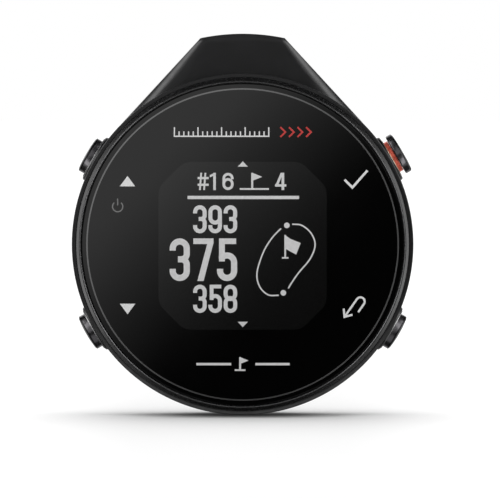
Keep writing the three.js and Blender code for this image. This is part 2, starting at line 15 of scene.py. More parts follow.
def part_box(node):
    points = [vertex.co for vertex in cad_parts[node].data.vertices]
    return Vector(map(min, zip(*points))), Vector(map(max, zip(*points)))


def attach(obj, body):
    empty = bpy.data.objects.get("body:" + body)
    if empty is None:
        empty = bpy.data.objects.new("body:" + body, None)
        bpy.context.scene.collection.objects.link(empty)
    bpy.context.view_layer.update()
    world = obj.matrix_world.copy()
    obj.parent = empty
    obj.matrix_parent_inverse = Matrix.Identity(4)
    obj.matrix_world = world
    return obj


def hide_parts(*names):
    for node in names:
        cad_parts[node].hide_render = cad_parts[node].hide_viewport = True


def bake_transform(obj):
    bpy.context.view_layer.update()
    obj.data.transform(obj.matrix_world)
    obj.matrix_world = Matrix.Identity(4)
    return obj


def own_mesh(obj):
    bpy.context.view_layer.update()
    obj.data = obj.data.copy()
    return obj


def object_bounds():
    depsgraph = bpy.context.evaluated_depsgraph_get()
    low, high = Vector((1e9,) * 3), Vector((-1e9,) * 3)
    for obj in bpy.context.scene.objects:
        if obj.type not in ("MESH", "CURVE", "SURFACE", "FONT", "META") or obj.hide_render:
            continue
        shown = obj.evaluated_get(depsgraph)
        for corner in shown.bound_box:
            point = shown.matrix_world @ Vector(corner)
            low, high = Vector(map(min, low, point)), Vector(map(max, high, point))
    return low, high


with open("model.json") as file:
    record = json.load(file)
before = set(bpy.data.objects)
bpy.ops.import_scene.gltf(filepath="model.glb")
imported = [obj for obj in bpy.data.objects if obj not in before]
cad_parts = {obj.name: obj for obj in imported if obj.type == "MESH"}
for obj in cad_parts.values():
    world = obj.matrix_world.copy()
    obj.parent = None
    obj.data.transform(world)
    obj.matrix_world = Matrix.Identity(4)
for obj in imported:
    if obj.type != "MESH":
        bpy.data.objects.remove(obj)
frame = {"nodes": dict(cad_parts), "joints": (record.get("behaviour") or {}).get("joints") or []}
cad_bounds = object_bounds()

# ---- Sizes read from the frame ----

MM = 0.001
LENS_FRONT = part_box("rear_cover")[1].y / MM
ROW = Matrix(((MM, 0, 0, 0), (0, 0, -MM, LENS_FRONT * MM), (0, MM, 0, 0), (0, 0, 0, 1)))


def layout_box(node):
    """Lowest and highest corner of a CAD node in the layout, in millimetres."""
    lo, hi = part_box(node)
    low = Vector((lo.x / MM, lo.z / MM, LENS_FRONT - hi.y / MM))
    high = Vector((hi.x / MM, hi.z / MM, LENS_FRONT - lo.y / MM))
    return low, high


BODY_RADIUS = layout_box("housing")[1].x
LUG_PEAK = layout_box("housing")[1].y
HOUSING_REAR = 1.35
HOUSING_BORE = 21.6
RIM_FRONT = 9.65
RIM_BORE = 23.44
RIM_FLOOR = 8.4
BEZEL_REAR, BEZEL_FRONT = (corner.z for corner in layout_box("bezel_ring"))
LENS_RADIUS = layout_box("lens")[1].x
LENS_REAR = layout_box("lens")[0].z
COVER_RADIUS = layout_box("rear_cover")[1].x
PIN_LOW, PIN_HIGH = layout_box("hinge_pin")
HINGE_Y = (PIN_LOW.y + PIN_HIGH.y) / 2
HINGE_Z = (PIN_LOW.z + PIN_HIGH.z) / 2
PIN_RADIUS = (PIN_HIGH.y - PIN_LOW.y) / 2
CLIP_LOW, CLIP_HIGH = layout_box("clip_lever")
BUTTON_Z = 5.2
SCREW_OFFSET = 13
SCREW_PLACES = [(SCREW_OFFSET * sx, SCREW_OFFSET * sy) for sx, sy in ((1, 1), (-1, 1), (-1, -1), (1, -1))]

TURN_STEPS = 192
BUTTON_STEPS = 96


# ---- Meshes ----


def fillet(corners, closed=True, steps=5):
    """A path of (a, b) points from corners (a, b) or (a, b, radius), with an arc in each rounded corner."""
    path = []
    count = len(corners)
    for i, corner in enumerate(corners):
        radius = corner[2] if len(corner) > 2 else 0
        here = Vector(corner[:2])
        if radius == 0 or (not closed and i in (0, count - 1)):
            path.append(here)
            continue
        before = (Vector(corners[i - 1][:2]) - here).normalized()
        after = (Vector(corners[(i + 1) % count][:2]) - here).normalized()
        half = before.angle(after) / 2
        centre = here + (before + after).normalized() * (radius / math.sin(half))
        start = here + before * (radius / math.tan(half)) - centre
        turn = start.angle_signed(here + after * (radius / math.tan(half)) - centre)
        path += [centre + start @ Matrix.Rotation(turn * k / steps, 2) for k in range(steps + 1)]
    return path


def arc(centre, radius, start, end, steps=12):
    """Points on an arc, from start to end degrees. radius is one number or (x radius, y radius)."""
    rx, ry = radius if isinstance(radius, tuple) else (radius, radius)
    angles = [math.radians(start + (end - start) * k / steps) for k in range(steps + 1)]
    return [Vector((centre[0] + rx * math.cos(a), centre[1] + ry * math.sin(a))) for a in angles]


def smooth_path(points, steps=6):
    """A Catmull-Rom curve through a few points."""
    points = [Vector(p) for p in points]
    ends = [2 * points[0] - points[1], *points, 2 * points[-1] - points[-2]]
    path = []
    for a, b, c, d in zip(ends, ends[1:], ends[2:], ends[3:]):
        for k in range(steps):
            t = k / steps
            point = 2 * b + (c - a) * t
            point += (2 * a - 5 * b + 4 * c - d) * t**2
            point += (3 * b - a - 3 * c + d) * t**3
            path.append(0.5 * point)
    return path + [points[-1]]


def lathe(profile, steps=TURN_STEPS):
    """Turns (radius, height) points about Z. They form a loop, or start and end on the axis."""
    bm = bmesh.new()
    rings = []
    for radius, height in profile:
        if radius < 1e-6:
            rings.append([bm.verts.new((0, 0, height))] * steps)
            continue
        angles = [2 * math.pi * k / steps for k in range(steps)]
        rings.append([bm.verts.new((radius * math.sin(a), radius * math.cos(a), height)) for a in angles])
    pairs = list(zip(rings, rings[1:]))
    if profile[0][0] > 1e-6:
        pairs.append((rings[-1], rings[0]))
    for low, high in pairs:
        for k in range(steps):
            corners = [low[k], low[(k + 1) % steps], high[(k + 1) % steps], high[k]]
            face = list(dict.fromkeys(corners))
            if len(face) > 2:
                bm.faces.new(face)
    bmesh.ops.recalc_face_normals(bm, faces=bm.faces)
    return bm


def skin(rows, closed=False):
    """A closed surface over rows of points that each go once round it. Closed rows join end to start."""
    bm = bmesh.new()
    rings = [[bm.verts.new(p) for p in row] for row in rows]
    for a, b in zip(rings, rings[1:] + ([rings[0]] if closed else [])):
        for k in range(len(a)):
            n = (k + 1) % len(a)
            bm.faces.new((a[k], b[k], b[n], a[n]))
    if not closed:
        bm.faces.new(rings[0])
        bm.faces.new(rings[-1])
    bmesh.ops.recalc_face_normals(bm, faces=bm.faces)
    return bm


def prism(outline, low, high):
    """A closed outline of (x, y) points, raised from one height to another."""
    return skin([[(p[0], p[1], height) for p in outline] for height in (low, high)])


def stroke(path, width, low, high, closed=False):
    """A flat band of one width along a path, raised from one height to another."""
    path = [Vector(p[:2]) for p in path]
    count = len(path)
    rows = []
    for k, p in enumerate(path):
        before = path[k - 1] if k or closed else p
        after = path[(k + 1) % count] if k + 1 < count or closed else p
        into = (p - before).normalized()
        out = (after - p).normalized()
        along = (into + out).normalized()
        spread = max(0.5, along.dot(out if out.length else into))
        aside = Vector((-along.y, along.x)) * (width / 2 / spread)
        left, right = p + aside, p - aside
        rows.append([(*left, low), (*right, low), (*right, high), (*left, high)])
    return skin(rows, closed)


def sweep(path, radius, sides=10):
    """A round wire along a list of 3-D points."""
    path = [Vector(p) for p in path]
    angles = [2 * math.pi * s / sides for s in range(sides)]
    rows = []
    across = None
    for k, p in enumerate(path):
        along = (path[min(k + 1, len(path) - 1)] - path[max(k - 1, 0)]).normalized()
        if across is None:
            across = along.orthogonal().normalized()
        across = (across - along * across.dot(along)).normalized()
        up = along.cross(across)
        rows.append([p + (across * math.cos(a) + up * math.sin(a)) * radius for a in angles])
    return skin(rows)


def block(low, high):
    """A box from one corner to the other."""
    (left, front, bottom), (right, back, top) = low, high
    return prism([(left, front), (right, front), (right, back), (left, back)], bottom, top)


def turned(corners, steps=TURN_STEPS, arc_steps=5):
    """Turns a profile of corners (radius, height) or (radius, height, rounding) about Z. It is open when it
    starts on the axis."""
    return lathe(fillet(corners, corners[0][0] > 0, arc_steps), steps)


def rod(radius, low, high, steps=TURN_STEPS, foot=0, rim=0):
    """A round bar along Z, with its lower and upper edge rounded this much."""
    return turned([(0, low), (radius, low, foot), (radius, high, rim), (0, high)], steps)


def at(x, y, degrees=0):
    """A place on the layout's plane, turned about Z."""
    return Matrix.Translation((x, y, 0)) @ Matrix.Rotation(math.radians(degrees), 4, "Z")


def moved(bm, matrix):
    bmesh.ops.transform(bm, matrix=matrix, verts=bm.verts)
    if matrix.determinant() < 0:
        bmesh.ops.reverse_faces(bm, faces=bm.faces)
    return bm


def new_object(name, data):
    obj = bpy.data.objects.new(name, data)
    bpy.context.scene.collection.objects.link(obj)
    return obj


def loose_object(bm, name="scratch"):
    mesh = bpy.data.meshes.new(name)
    bm.to_mesh(mesh)
    bm.free()
    return new_object(name, mesh)


def as_bmesh(obj):
    """Turns a scratch object back into a bmesh."""
    bm = bmesh.new()
    bm.from_mesh(obj.data)
    bpy.data.objects.remove(obj)
    return bm


def with_modifiers(obj):
    """Bakes the object's modifiers into its mesh."""
    depsgraph = bpy.context.evaluated_depsgraph_get()
    mesh = bpy.data.meshes.new_from_object(obj.evaluated_get(depsgraph), depsgraph=depsgraph)
    obj.modifiers.clear()
    old = obj.data
    obj.data = mesh
    bpy.data.meshes.remove(old)
    return obj


def combine(operation, base, tools):
    """Joins ("UNION"), cuts ("DIFFERENCE") or crosses ("INTERSECT") the object with each closed bmesh."""
    for tool in tools:
        other = loose_object(tool)
        modifier = base.modifiers.new("boolean", "BOOLEAN")
        modifier.operation = operation
        modifier.solver = "MANIFOLD"
        modifier.object = other
        with_modifiers(base)
        mesh = other.data
        bpy.data.objects.remove(other)
        bpy.data.meshes.remove(mesh)
    return base


def round_edges(obj, width, segments=3, angle=35):
    """Rounds every edge sharper than the angle."""
    modifier = obj.modifiers.new("bevel", "BEVEL")
    modifier.width = width
    modifier.segments = segments
    modifier.limit_method = "ANGLE"
    modifier.angle_limit = math.radians(angle)
    modifier.use_clamp_overlap = True
    return with_modifiers(obj)


def piece(name, shape, body, material, replaces=(), place=ROW, sharp=32):
    """A finished piece, from a bmesh or scratch object in the layout. One without a body is left
    unattached.
    """
    obj = shape if isinstance(shape, bpy.types.Object) else loose_object(shape)
    obj.name = name
    obj.data.name = name
    obj.data.transform(place)
    obj.data.polygons.foreach_set("use_smooth", [True] * len(obj.data.polygons))
    obj.data.set_sharp_from_angle(angle=math.radians(sharp))
    obj.data.materials.clear()
    obj.data.materials.append(material)
    flat = obj.modifiers.new("flat faces", "WEIGHTED_NORMAL")
    flat.keep_sharp = True
    if body:
        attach(obj, body)
    if replaces:
        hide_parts(*replaces)
    return obj


# ---- Materials ----


class Nodes:
    """A node tree, with short ways to build it."""

    def __init__(self, tree):
        self.tree = tree

    def node(self, kind, **settings):
        """A new node, with these values for its inputs or its own settings."""
        node = self.tree.nodes.new(kind)
        for name, value in settings.items():
            if name in node.inputs:
                node.inputs[name].default_value = value
            else:
                setattr(node, name, value)
        return node

    def feed(self, socket, value):
        """Links an output to the socket, or sets the socket to a plain value."""
        if isinstance(value, bpy.types.NodeSocket):
            self.tree.links.new(value, socket)
        else:
            socket.default_value = value

    def maths(self, operation, *values, clamp=False):
        node = self.node("ShaderNodeMath", operation=operation, use_clamp=clamp)
        for socket, value in zip(node.inputs, values):
            self.feed(socket, value)
        return node.outputs[0]

    def vector_maths(self, operation, *values):
        node = self.node("ShaderNodeVectorMath", operation=operation)
        for socket, value in zip(node.inputs, values):
            self.feed(socket, value)
        return node

    def product(self, first, *others):
        for other in others:
            first = self.maths("MULTIPLY", first, other)
        return first

    def total(self, first, *others):
        for other in others:
            first = self.maths("ADD", first, other)
        return first

    def ramp(self, value, low, high, start=0, end=1, kind="LINEAR"):
        """Runs from start to end while the value runs from low to high."""
        limits = {"From Min": low, "From Max": high, "To Min": start, "To Max": end}
        node = self.node("ShaderNodeMapRange", interpolation_type=kind, **limits)
        self.feed(node.inputs["Value"], value)
        return node.outputs["Result"]

    def rise(self, value, low, high):
        """0 at low and 1 at high, with a smooth rise or, where low is above high, a smooth fall."""
        ends = (0, 1) if low < high else (1, 0)
        return self.ramp(value, min(low, high), max(low, high), *ends, "SMOOTHSTEP")


class Finish(Nodes):
    """A Principled material with procedural detail in object space."""

    def __init__(self, name, base, roughness, metallic=0.0, **sockets):
        self.material = bpy.data.materials.new(name)
        self.material.use_nodes = True
        super().__init__(self.material.node_tree)
        self.sockets = self.tree.nodes["Principled BSDF"].inputs
        self.base = base
        self.roughness = roughness
        self.sockets["Base Color"].default_value = (*base, 1)
        self.sockets["Roughness"].default_value = roughness
        self.sockets["Metallic"].default_value = metallic
        for socket, value in sockets.items():
            self.sockets[socket.replace("_", " ")].default_value = value

    def spot(self):
        """Where a point of the surface is, in object space."""
        return self.node("ShaderNodeTexCoord").outputs["Object"]

    def colour(self):
        """What feeds the base colour so far."""
        return self.sockets["Base Color"].links[0].from_socket

    def pattern(self, kind, size_mm, **settings):
        """A texture whose features are about this size. Returns its node."""
        texture = self.node(kind, Scale=1 / (size_mm * MM), **settings)
        self.feed(texture.inputs["Vector"], self.spot())
        return texture

    def spread(self, source, low, high):
        """The source's middle range, stretched to run from low to high."""
        return self.ramp(source, 0.3, 0.7, low, high)

    def between(self, share, first, second):
        """Makes the base colour a mix of two colours, by a share from 0 to 1."""
        mix = self.node("ShaderNodeMix", data_type="RGBA")
        self.feed(mix.inputs["Factor"], share)
        self.feed(mix.inputs[6], first)
        self.feed(mix.inputs[7], second)
        self.feed(self.sockets["Base Color"], mix.outputs[2])
        return self

    def mottle(self, size_mm, share):
        """The colour varies by this share, up and down."""
        noise = self.pattern("ShaderNodeTexNoise", size_mm, Detail=3.0)
        darker = (*[c * (1 - share) for c in self.base], 1)
        lighter = (*[c * (1 + share) for c in self.base], 1)
        return self.between(self.spread(noise.outputs["Fac"], 0, 1), darker, lighter)

    def uneven_gloss(self, size_mm, change):
        """The roughness varies by this much, up and down."""
        noise = self.pattern("ShaderNodeTexNoise", size_mm, Detail=4.0)
        gloss = self.spread(noise.outputs["Fac"], self.roughness - change, self.roughness + change)
        self.feed(self.sockets["Roughness"], gloss)
        return self

    def bump(self, height, strength, depth_mm):
        node = self.node("ShaderNodeBump", Strength=strength, Distance=depth_mm * MM)
        self.feed(node.inputs["Height"], height)
        self.feed(self.sockets["Normal"], node.outputs["Normal"])
        return self

    def grain(self, size_mm, depth_mm, strength=0.5):
        """A fine moulded grain."""
        noise = self.pattern("ShaderNodeTexNoise", size_mm, Detail=2.0, Roughness=0.6)
        return self.bump(noise.outputs["Fac"], strength, depth_mm)


def polymer():
    finish = Finish("case polymer", (0.0075, 0.0075, 0.008), 0.34, Specular_IOR_Level=0.34)
    return finish.mottle(3.0, 0.18).uneven_gloss(1.1, 0.05).grain(0.17, 0.012, 0.6).material


def bezel_satin():
    finish = Finish("bezel satin", (0.006, 0.006, 0.0063), 0.26, Specular_IOR_Level=0.5)
    return finish.mottle(1.5, 0.15).uneven_gloss(0.6, 0.04).grain(0.12, 0.001, 0.1).material


def cover_glass():
    finish = Finish("cover glass", (0.0001, 0.0001, 0.0001), 0.03, IOR=1.5)
    return finish.uneven_gloss(9.0, 0.01).material


def printed(name, base, roughness=0.2, refraction=1.5):
    """Ink under the glass: its own colour, with a little unevenness and the glass's gloss."""
    return Finish(name, base, roughness, IOR=refraction).mottle(0.5, 0.06).material


def screen_ground():
    """The display's dark ground, with the fine grid of its cells."""
    finish = Finish("screen ground", (0.0035, 0.0035, 0.0035), 0.05, IOR=1.6)
    cell_mm = 0.134
    colours = {
        "Color1": (0.0032, 0.0033, 0.0031, 1),
        "Color2": (0.0027, 0.0028, 0.0028, 1),
        "Mortar": (0.002, 0.002, 0.002, 1),
    }
    sizes = {"Scale": 1 / (cell_mm * MM), "Mortar Size": 0.06, "Brick Width": 1.0, "Row Height": 1.0}
    grid = finish.node("ShaderNodeTexBrick", offset=0.0, squash=1.0, **colours, **sizes)
    upright = finish.node("ShaderNodeMapping", Rotation=(math.pi / 2, 0, 0))
    finish.feed(upright.inputs["Vector"], finish.spot())
    finish.feed(grid.inputs["Vector"], upright.outputs["Vector"])
    finish.feed(finish.sockets["Base Color"], grid.outputs["Color"])
    return finish.material


def gunmetal(name, crown, edge=0.06):
    """Satin gunmetal, with a painted dark reflection beyond this distance from the middle of the case."""
    finish = Finish(name, (0.1, 0.097, 0.103), 0.22, 0.9).mottle(0.8, 0.08).uneven_gloss(0.9, 0.02)
    middle = ROW @ Vector((0, 0, BUTTON_Z))
    reach = finish.vector_maths("DISTANCE", finish.spot(), middle).outputs["Value"]
    # painted dark reflection: the colour turns near black over the cap's rounded outer end
    painted_dark_rim = finish.ramp(reach, (crown - edge) * MM, (crown + edge) * MM)
    finish.between(painted_dark_rim, finish.colour(), (0.006, 0.006, 0.0065, 1))
    return finish.grain(0.08, 0.001, 0.3).material


def red_anodised():
    finish = Finish("red anodised", (0.92, 0.15, 0.09), 0.3, 0.3)
    return finish.mottle(0.6, 0.1).uneven_gloss(0.3, 0.05).grain(0.06, 0.002, 0.4).material


def metal(name, base, roughness):
    return Finish(name, base, roughness, 1.0).mottle(0.5, 0.1).uneven_gloss(0.25, 0.05).material


def rubber():
    return Finish("rubber", (0.012, 0.012, 0.012), 0.75).mottle(0.8, 0.2).grain(0.12, 0.02, 0.6).material


def circuit_board():
    """Green solder mask over copper, whose tracks show as a lighter pattern."""
    finish = Finish("circuit board", (0.012, 0.06, 0.03), 0.35)
    cells = finish.pattern("ShaderNodeTexVoronoi", 1.4, distance="MANHATTAN", feature="DISTANCE_TO_EDGE")
    off_track = finish.ramp(cells.outputs["Distance"], 0.05, 0.09)
    finish.between(off_track, (0.03, 0.13, 0.06, 1), (0.008, 0.045, 0.022, 1))
    return finish.bump(off_track, 0.3, 0.02).material


def amber_film():
    return Finish("amber film", (0.42, 0.17, 0.03), 0.3).mottle(2.0, 0.15).uneven_gloss(1.0, 0.08).material


def battery_foil():
    return Finish("battery foil", (0.5, 0.5, 0.51), 0.38, 0.7).mottle(2.5, 0.08).grain(1.2, 0.05).material


def light_guide():
    return Finish("light guide", (0.75, 0.75, 0.72), 0.35).mottle(1.0, 0.04).material


POLYMER = polymer()
BEZEL = bezel_satin()
BRIGHT_EDGE = metal("bright edge", (0.11, 0.11, 0.112), 0.3)
GLASS = cover_glass()
SCREEN = screen_ground()
PLAIN_GUNMETAL = gunmetal("gunmetal", 25.14)
PROUD_GUNMETAL = gunmetal("gunmetal proud", 25.84)
RED = red_anodised()
STEEL = metal("steel", (0.45, 0.45, 0.46), 0.3)
GOLD = metal("gold contact", (0.78, 0.52, 0.2), 0.25)
PALE_TRIM = metal("pale trim", (0.62, 0.55, 0.42), 0.4)
GREY_TRIM = metal("grey trim", (0.26, 0.26, 0.26), 0.5)
RUBBER = rubber()
BOARD = circuit_board()
FILM = amber_film()
FOIL = battery_foil()
GUIDE = light_guide()
PIXELS = printed("lit pixels", (0.72, 0.72, 0.72), 0.3)
WHITE_INK = printed("white ink", (0.86, 0.86, 0.86))
GREY_INK = printed("grey ink", (0.2, 0.2, 0.2))
RED_INK = printed("red ink", (0.6, 0.05, 0.045))
EDGE_INK = printed("silver edge ink", (0.09, 0.09, 0.09), 0.04, 2.0)


# ---- Housing ----

LUG_TANGENT = math.radians(42.8)
LUG_HALF_WIDTH = 5.92
LUG_SHOULDER = 28.97
LUG_CREST = LUG_PEAK - 0.12
LUG_REAR, LUG_FRONT = 2.0, 8.0
FLANK_AT_FOOT, FLANK_AT_TOP = 5.4, 0.8
FLANK_DEPTH = 0.44
CREST_WIDTH, CREST_DEPTH = 0.95, 0.3
CREST_EDGE, FLANK_EDGE = 0.26, 0.12
LUG_OVERLAP = 1.2
BOSS_RADIUS = 3.15
BOSS_ROOT, BOSS_FACE = 22.4, 24.2
BOSS_STRETCH = 1.085


def quarter_drop(distance, radius):
    """How far a rounded edge lies below the face, this far in from the edge."""
    inside = max(0.0, radius - distance)
    return radius - math.sqrt(max(0.0, radius**2 - inside**2))


def ease_drop(distance, width, depth):
    """How far a face that rolls away over this width has dropped, this far in from the edge."""
    return depth * max(0.0, 1 - distance / width) ** 2


def lug():
    """The tapered lug: a nearly flat face whose flanks roll back towards the case wall. Its grid is closest
    along its edges."""
    foot_x = BODY_RADIUS * math.cos(LUG_TANGENT)
    foot_y = BODY_RADIUS * math.sin(LUG_TANGENT)
    near = [0, 0.015, 0.05, 0.11, 0.19, 0.3, 0.45, 0.65, 0.9, 1.2, 1.6, 2.1, 2.7, 3.3, 4.0]
    lean = math.cos(math.atan2(foot_x - LUG_HALF_WIDTH, LUG_SHOULDER - foot_y))
    middle_count, level_count, crest_height = 16, 20, 8
    middle = [k / middle_count for k in range(1, middle_count)]
    levels = [k / level_count for k in range(level_count - 2)]
    levels += [1 - d / crest_height for d in reversed(near[:10])]
    bm = bmesh.new()
    front, back = [], []
    for level in levels:
        half = foot_x + (LUG_HALF_WIDTH - foot_x) * level
        left = [-half + d for d in near]
        inner = half - near[-1]
        xs = left + [-inner + 2 * inner * m for m in middle] + [-x for x in reversed(left)]
        roll_width = FLANK_AT_FOOT + (FLANK_AT_TOP - FLANK_AT_FOOT) * level
        front_row, back_row = [], []
        for x in xs:
            u = x / half
            bow = 1 - u**2
            root = math.sqrt(BODY_RADIUS**2 - (foot_x * u) ** 2) - LUG_OVERLAP * bow
            top = LUG_SHOULDER + (LUG_CREST - LUG_SHOULDER) * bow
            y = root + (top - root) * level
            to_side = (half - abs(x)) * lean
            to_top = top - y
            drop = ease_drop(to_side, roll_width, FLANK_DEPTH * roll_width)
            drop += ease_drop(to_top, CREST_WIDTH, CREST_DEPTH)
            if to_top < to_side:
                edge = quarter_drop(to_top, CREST_EDGE)
            else:
                edge = quarter_drop(to_side, FLANK_EDGE)
            front_row.append(bm.verts.new((x, y, LUG_FRONT - drop - edge)))
            back_row.append(bm.verts.new((x, y, LUG_REAR + edge)))
        front.append(front_row)
        back.append(back_row)
    rows, columns = len(front), len(front[0])
    for r in range(rows - 1):
        for c in range(columns - 1):
            for grid in (front, back):
                bm.faces.new((grid[r][c], grid[r][c + 1], grid[r + 1][c + 1], grid[r + 1][c]))
        for c in (0, -1):
            bm.faces.new((front[r][c], front[r + 1][c], back[r + 1][c], back[r][c]))
    for c in range(columns - 1):
        for r in (0, -1):
            bm.faces.new((front[r][c], front[r][c + 1], back[r][c + 1], back[r][c]))
    bmesh.ops.recalc_face_normals(bm, faces=bm.faces)
    return bm


SIDE_VIEW = Matrix(((0, 0, 1, 0), (1, 0, 0, 0), (0, 1, 0, 0), (0, 0, 0, 1)))
EAR_INNER, EAR_OUTER = 5.2, 7.6
EAR_ROOT = LUG_REAR + 0.6
KNUCKLE_RADIUS = 1.6
PIN_CLEARANCE = 0.1


def side_prism(outline, low, high):
    """An outline of (y, z) points in the side view, run across the width."""
    return moved(prism(outline, low, high), SIDE_VIEW)


def bar(radius, low, high, y=HINGE_Y, z=HINGE_Z, steps=48):
    """A round bar along X."""
    return side_prism(arc((y, z), radius, 0, 360, steps)[:-1], low, high)


def hinge_ear(side):
    """A knuckle below the lug, rooted in it."""
    outline = arc((HINGE_Y, HINGE_Z), KNUCKLE_RADIUS, 180, 360, 24)
    outline += [(HINGE_Y + KNUCKLE_RADIUS, EAR_ROOT), (HINGE_Y - KNUCKLE_RADIUS, EAR_ROOT)]
    low, high = sorted((side * EAR_INNER, side * EAR_OUTER))
    return side_prism(outline, low, high)


def on_axis(angle):
    """Stands a shape that was turned about Z on a button's axis."""
    outward = Matrix.Rotation(angle, 4, "Z") @ Matrix.Rotation(math.pi / 2, 4, "Y")
    return Matrix.Translation((0, 0, BUTTON_Z)) @ outward


BUTTONS = {}
for joint in frame["joints"]:
    if joint["type"] == "slide":
        inward = joint["axis"]
        BUTTONS[joint["name"].replace("_press", "")] = math.atan2(-inward[2], -inward[0])

PLAIN_RECESS = (2.75, 23.3)
PROUD_RECESS = (2.55, 23.0)


def boss():
    """The raised ring around a button, a little longer along the wall than it is deep."""
    ring = rod(BOSS_RADIUS, BOSS_ROOT, BOSS_FACE, BUTTON_STEPS, rim=0.28)
    return moved(ring, Matrix.Scale(BOSS_STRETCH, 4, (0, 1, 0)))


def recess(radius, floor):
    """The stepped bore of a button, with a chamfer at its mouth."""
    inside, outside = 20.5, 27
    mouth, shaft = 0.14, 1.7
    wide = radius + mouth * 2
    bore = [(0, inside), (shaft, inside), (shaft, floor), (radius, floor), (radius, BOSS_FACE - mouth)]
    return lathe(bore + [(wide, BOSS_FACE + mouth), (wide, outside), (0, outside)], BUTTON_STEPS)


def screw_post(x, y):
    """A post with a bore, tied to the wall by a web."""
    radius, top, web_half = 1.7, 5.4, 0.8
    web = block((math.hypot(x, y), -web_half, 2.8), (22.3, web_half, top))
    return moved(rod(radius, 1.3, top, 40), at(x, y)), moved(web, Matrix.Rotation(math.atan2(y, x), 4, "Z"))


def housing():
    wall = [
        (HOUSING_BORE, HOUSING_REAR),
        (23.0, HOUSING_REAR, 0.2),
        (BODY_RADIUS, 2.8, 1.2),
        (BODY_RADIUS, RIM_FRONT - 0.1, 0.14),
        (RIM_BORE, RIM_FRONT, 0.04),
        (RIM_BORE, RIM_FLOOR),
        (HOUSING_BORE, RIM_FLOOR),
    ]
    body = loose_object(turned(wall))
    posts = [part for place in SCREW_PLACES for part in screw_post(*place)]
    bosses = [moved(boss(), on_axis(angle)) for angle in BUTTONS.values()]
    ears = [as_bmesh(round_edges(loose_object(hinge_ear(side)), 0.2)) for side in (-1, 1)]
    combine("UNION", body, [lug(), *bosses, *ears, *posts])
    cuts = []
    for name, angle in BUTTONS.items():
        cuts.append(moved(recess(*(PROUD_RECESS if name == "ok" else PLAIN_RECESS)), on_axis(angle)))
    cuts.append(bar(PIN_RADIUS + PIN_CLEARANCE, -9, 9))
    cuts += [moved(rod(0.9, 0, 4.8, 32), at(*place)) for place in SCREW_PLACES]
    return combine("DIFFERENCE", body, cuts)


piece("case_shell", housing(), "case", POLYMER, ["housing"], sharp=30)

BEZEL_BORE, BEZEL_RADIUS = 21.2, 23.41
BEZEL_SEAT = 9.4
LIP_RADIUS = 22.88
bezel_profile = [
    (BEZEL_BORE, BEZEL_REAR),
    (BEZEL_RADIUS, BEZEL_REAR, 0.1),
    (BEZEL_RADIUS, 9.95, 0.08),
    (23.33, 10.35, 0.1),
    (22.96, 10.97, 0.04),
    (LIP_RADIUS, 10.97),
    (LIP_RADIUS, 10.9),
    (22.78, 10.9),
    (22.78, 10.85),
    (22.7, 10.7, 0.06),
    (22.7, BEZEL_SEAT),
    (BEZEL_BORE, BEZEL_SEAT),
]
lip_inner, lip_foot = 22.74, 10.88
lip_profile = [
    (lip_inner, lip_foot),
    (LIP_RADIUS, lip_foot),
    (LIP_RADIUS, BEZEL_FRONT, 0.05),
    (lip_inner, BEZEL_FRONT - 0.04, 0.07),
]
piece("bezel_trim", turned(bezel_profile), "case", BEZEL, ["bezel_ring"])
piece("bezel_lip", turned(lip_profile), "case", BRIGHT_EDGE)


# ---- Glass, prints and screen ----

glass = rod(LENS_RADIUS, LENS_REAR, LENS_FRONT, foot=0.15, rim=0.14)
piece("glass_cover", glass, "case", GLASS, ["lens"])

INK_DEPTH = 0.008
PRINT = (LENS_FRONT, LENS_FRONT + INK_DEPTH)
LIT = (LENS_FRONT + INK_DEPTH, LENS_FRONT + 2 * INK_DEPTH)


def joined(shapes):
    """One clean solid from overlapping ones."""
    first, *others = shapes
    return combine("UNION", loose_object(first), others)


def ink(name, shapes, material):
    return piece(name, joined(shapes), "case", material)


def screen_outline():
    """The display's window: a square with cut and rounded corners."""
    side, top, bottom, cut, rounding = 11.8, 11.6, -11.95, 3.6, 2.5
    right = [(side - cut, bottom), (side, bottom + cut), (side, top - cut), (side - cut, top)]
    left = [(-x, y) for x, y in reversed(right)]
    return fillet([(x, y, rounding) for x, y in right + left], steps=4)


class Pen:
    """Draws the strokes of a glyph in a cell with this corner, width, height and stroke."""

    def __init__(self, x, y, width, height, weight):
        self.x, self.y, self.width, self.height, self.weight = x, y, width, height, weight
        self.left = x + weight / 2
        self.right = x + width - weight / 2
        self.low = y + weight / 2
        self.high = y + height - weight / 2
        self.middle = x + width / 2
        self.radius = (width - weight) / 2
        self.terminal = height * 0.05

    def line(self, path, closed=False):
        return stroke(path, self.weight, *LIT, closed=closed)

    def fill(self, corners):
        """A filled outline whose corners are shares of the cell."""
        return prism([(self.x + a * self.width, self.y + b * self.height) for a, b in corners], *LIT)

    def bar(self, left, low, right, high):
        """A filled rectangle whose sides are shares of the cell."""
        return self.fill([(left, low), (right, low), (right, high), (left, high)])

    def bowl(self, low, high):
        """A closed loop with straight sides, between two heights."""
        r = self.radius
        top = arc((self.middle, high - r), r, 0, 180)
        bottom = arc((self.middle, low + r), r, 180, 360)
        return self.line(top + bottom, closed=True)

    def hook_top(self, turn_end, drop):
        """Over the top from a left terminal to the right side, then down to a height."""
        r = self.radius
        start = Vector((self.left, self.high - r - drop))
        over = arc((self.middle, self.high - r), r, 180, 0)
        return [start, *over, Vector((self.right, turn_end))]

    def hook_bottom(self, turn_start, rise):
        """From a height on the right side, under the bottom, to a left terminal."""
        r = self.radius
        under = arc((self.middle, self.low + r), r, 0, -180)
        return [Vector((self.right, turn_start)), *under, Vector((self.left, self.low + r + rise))]


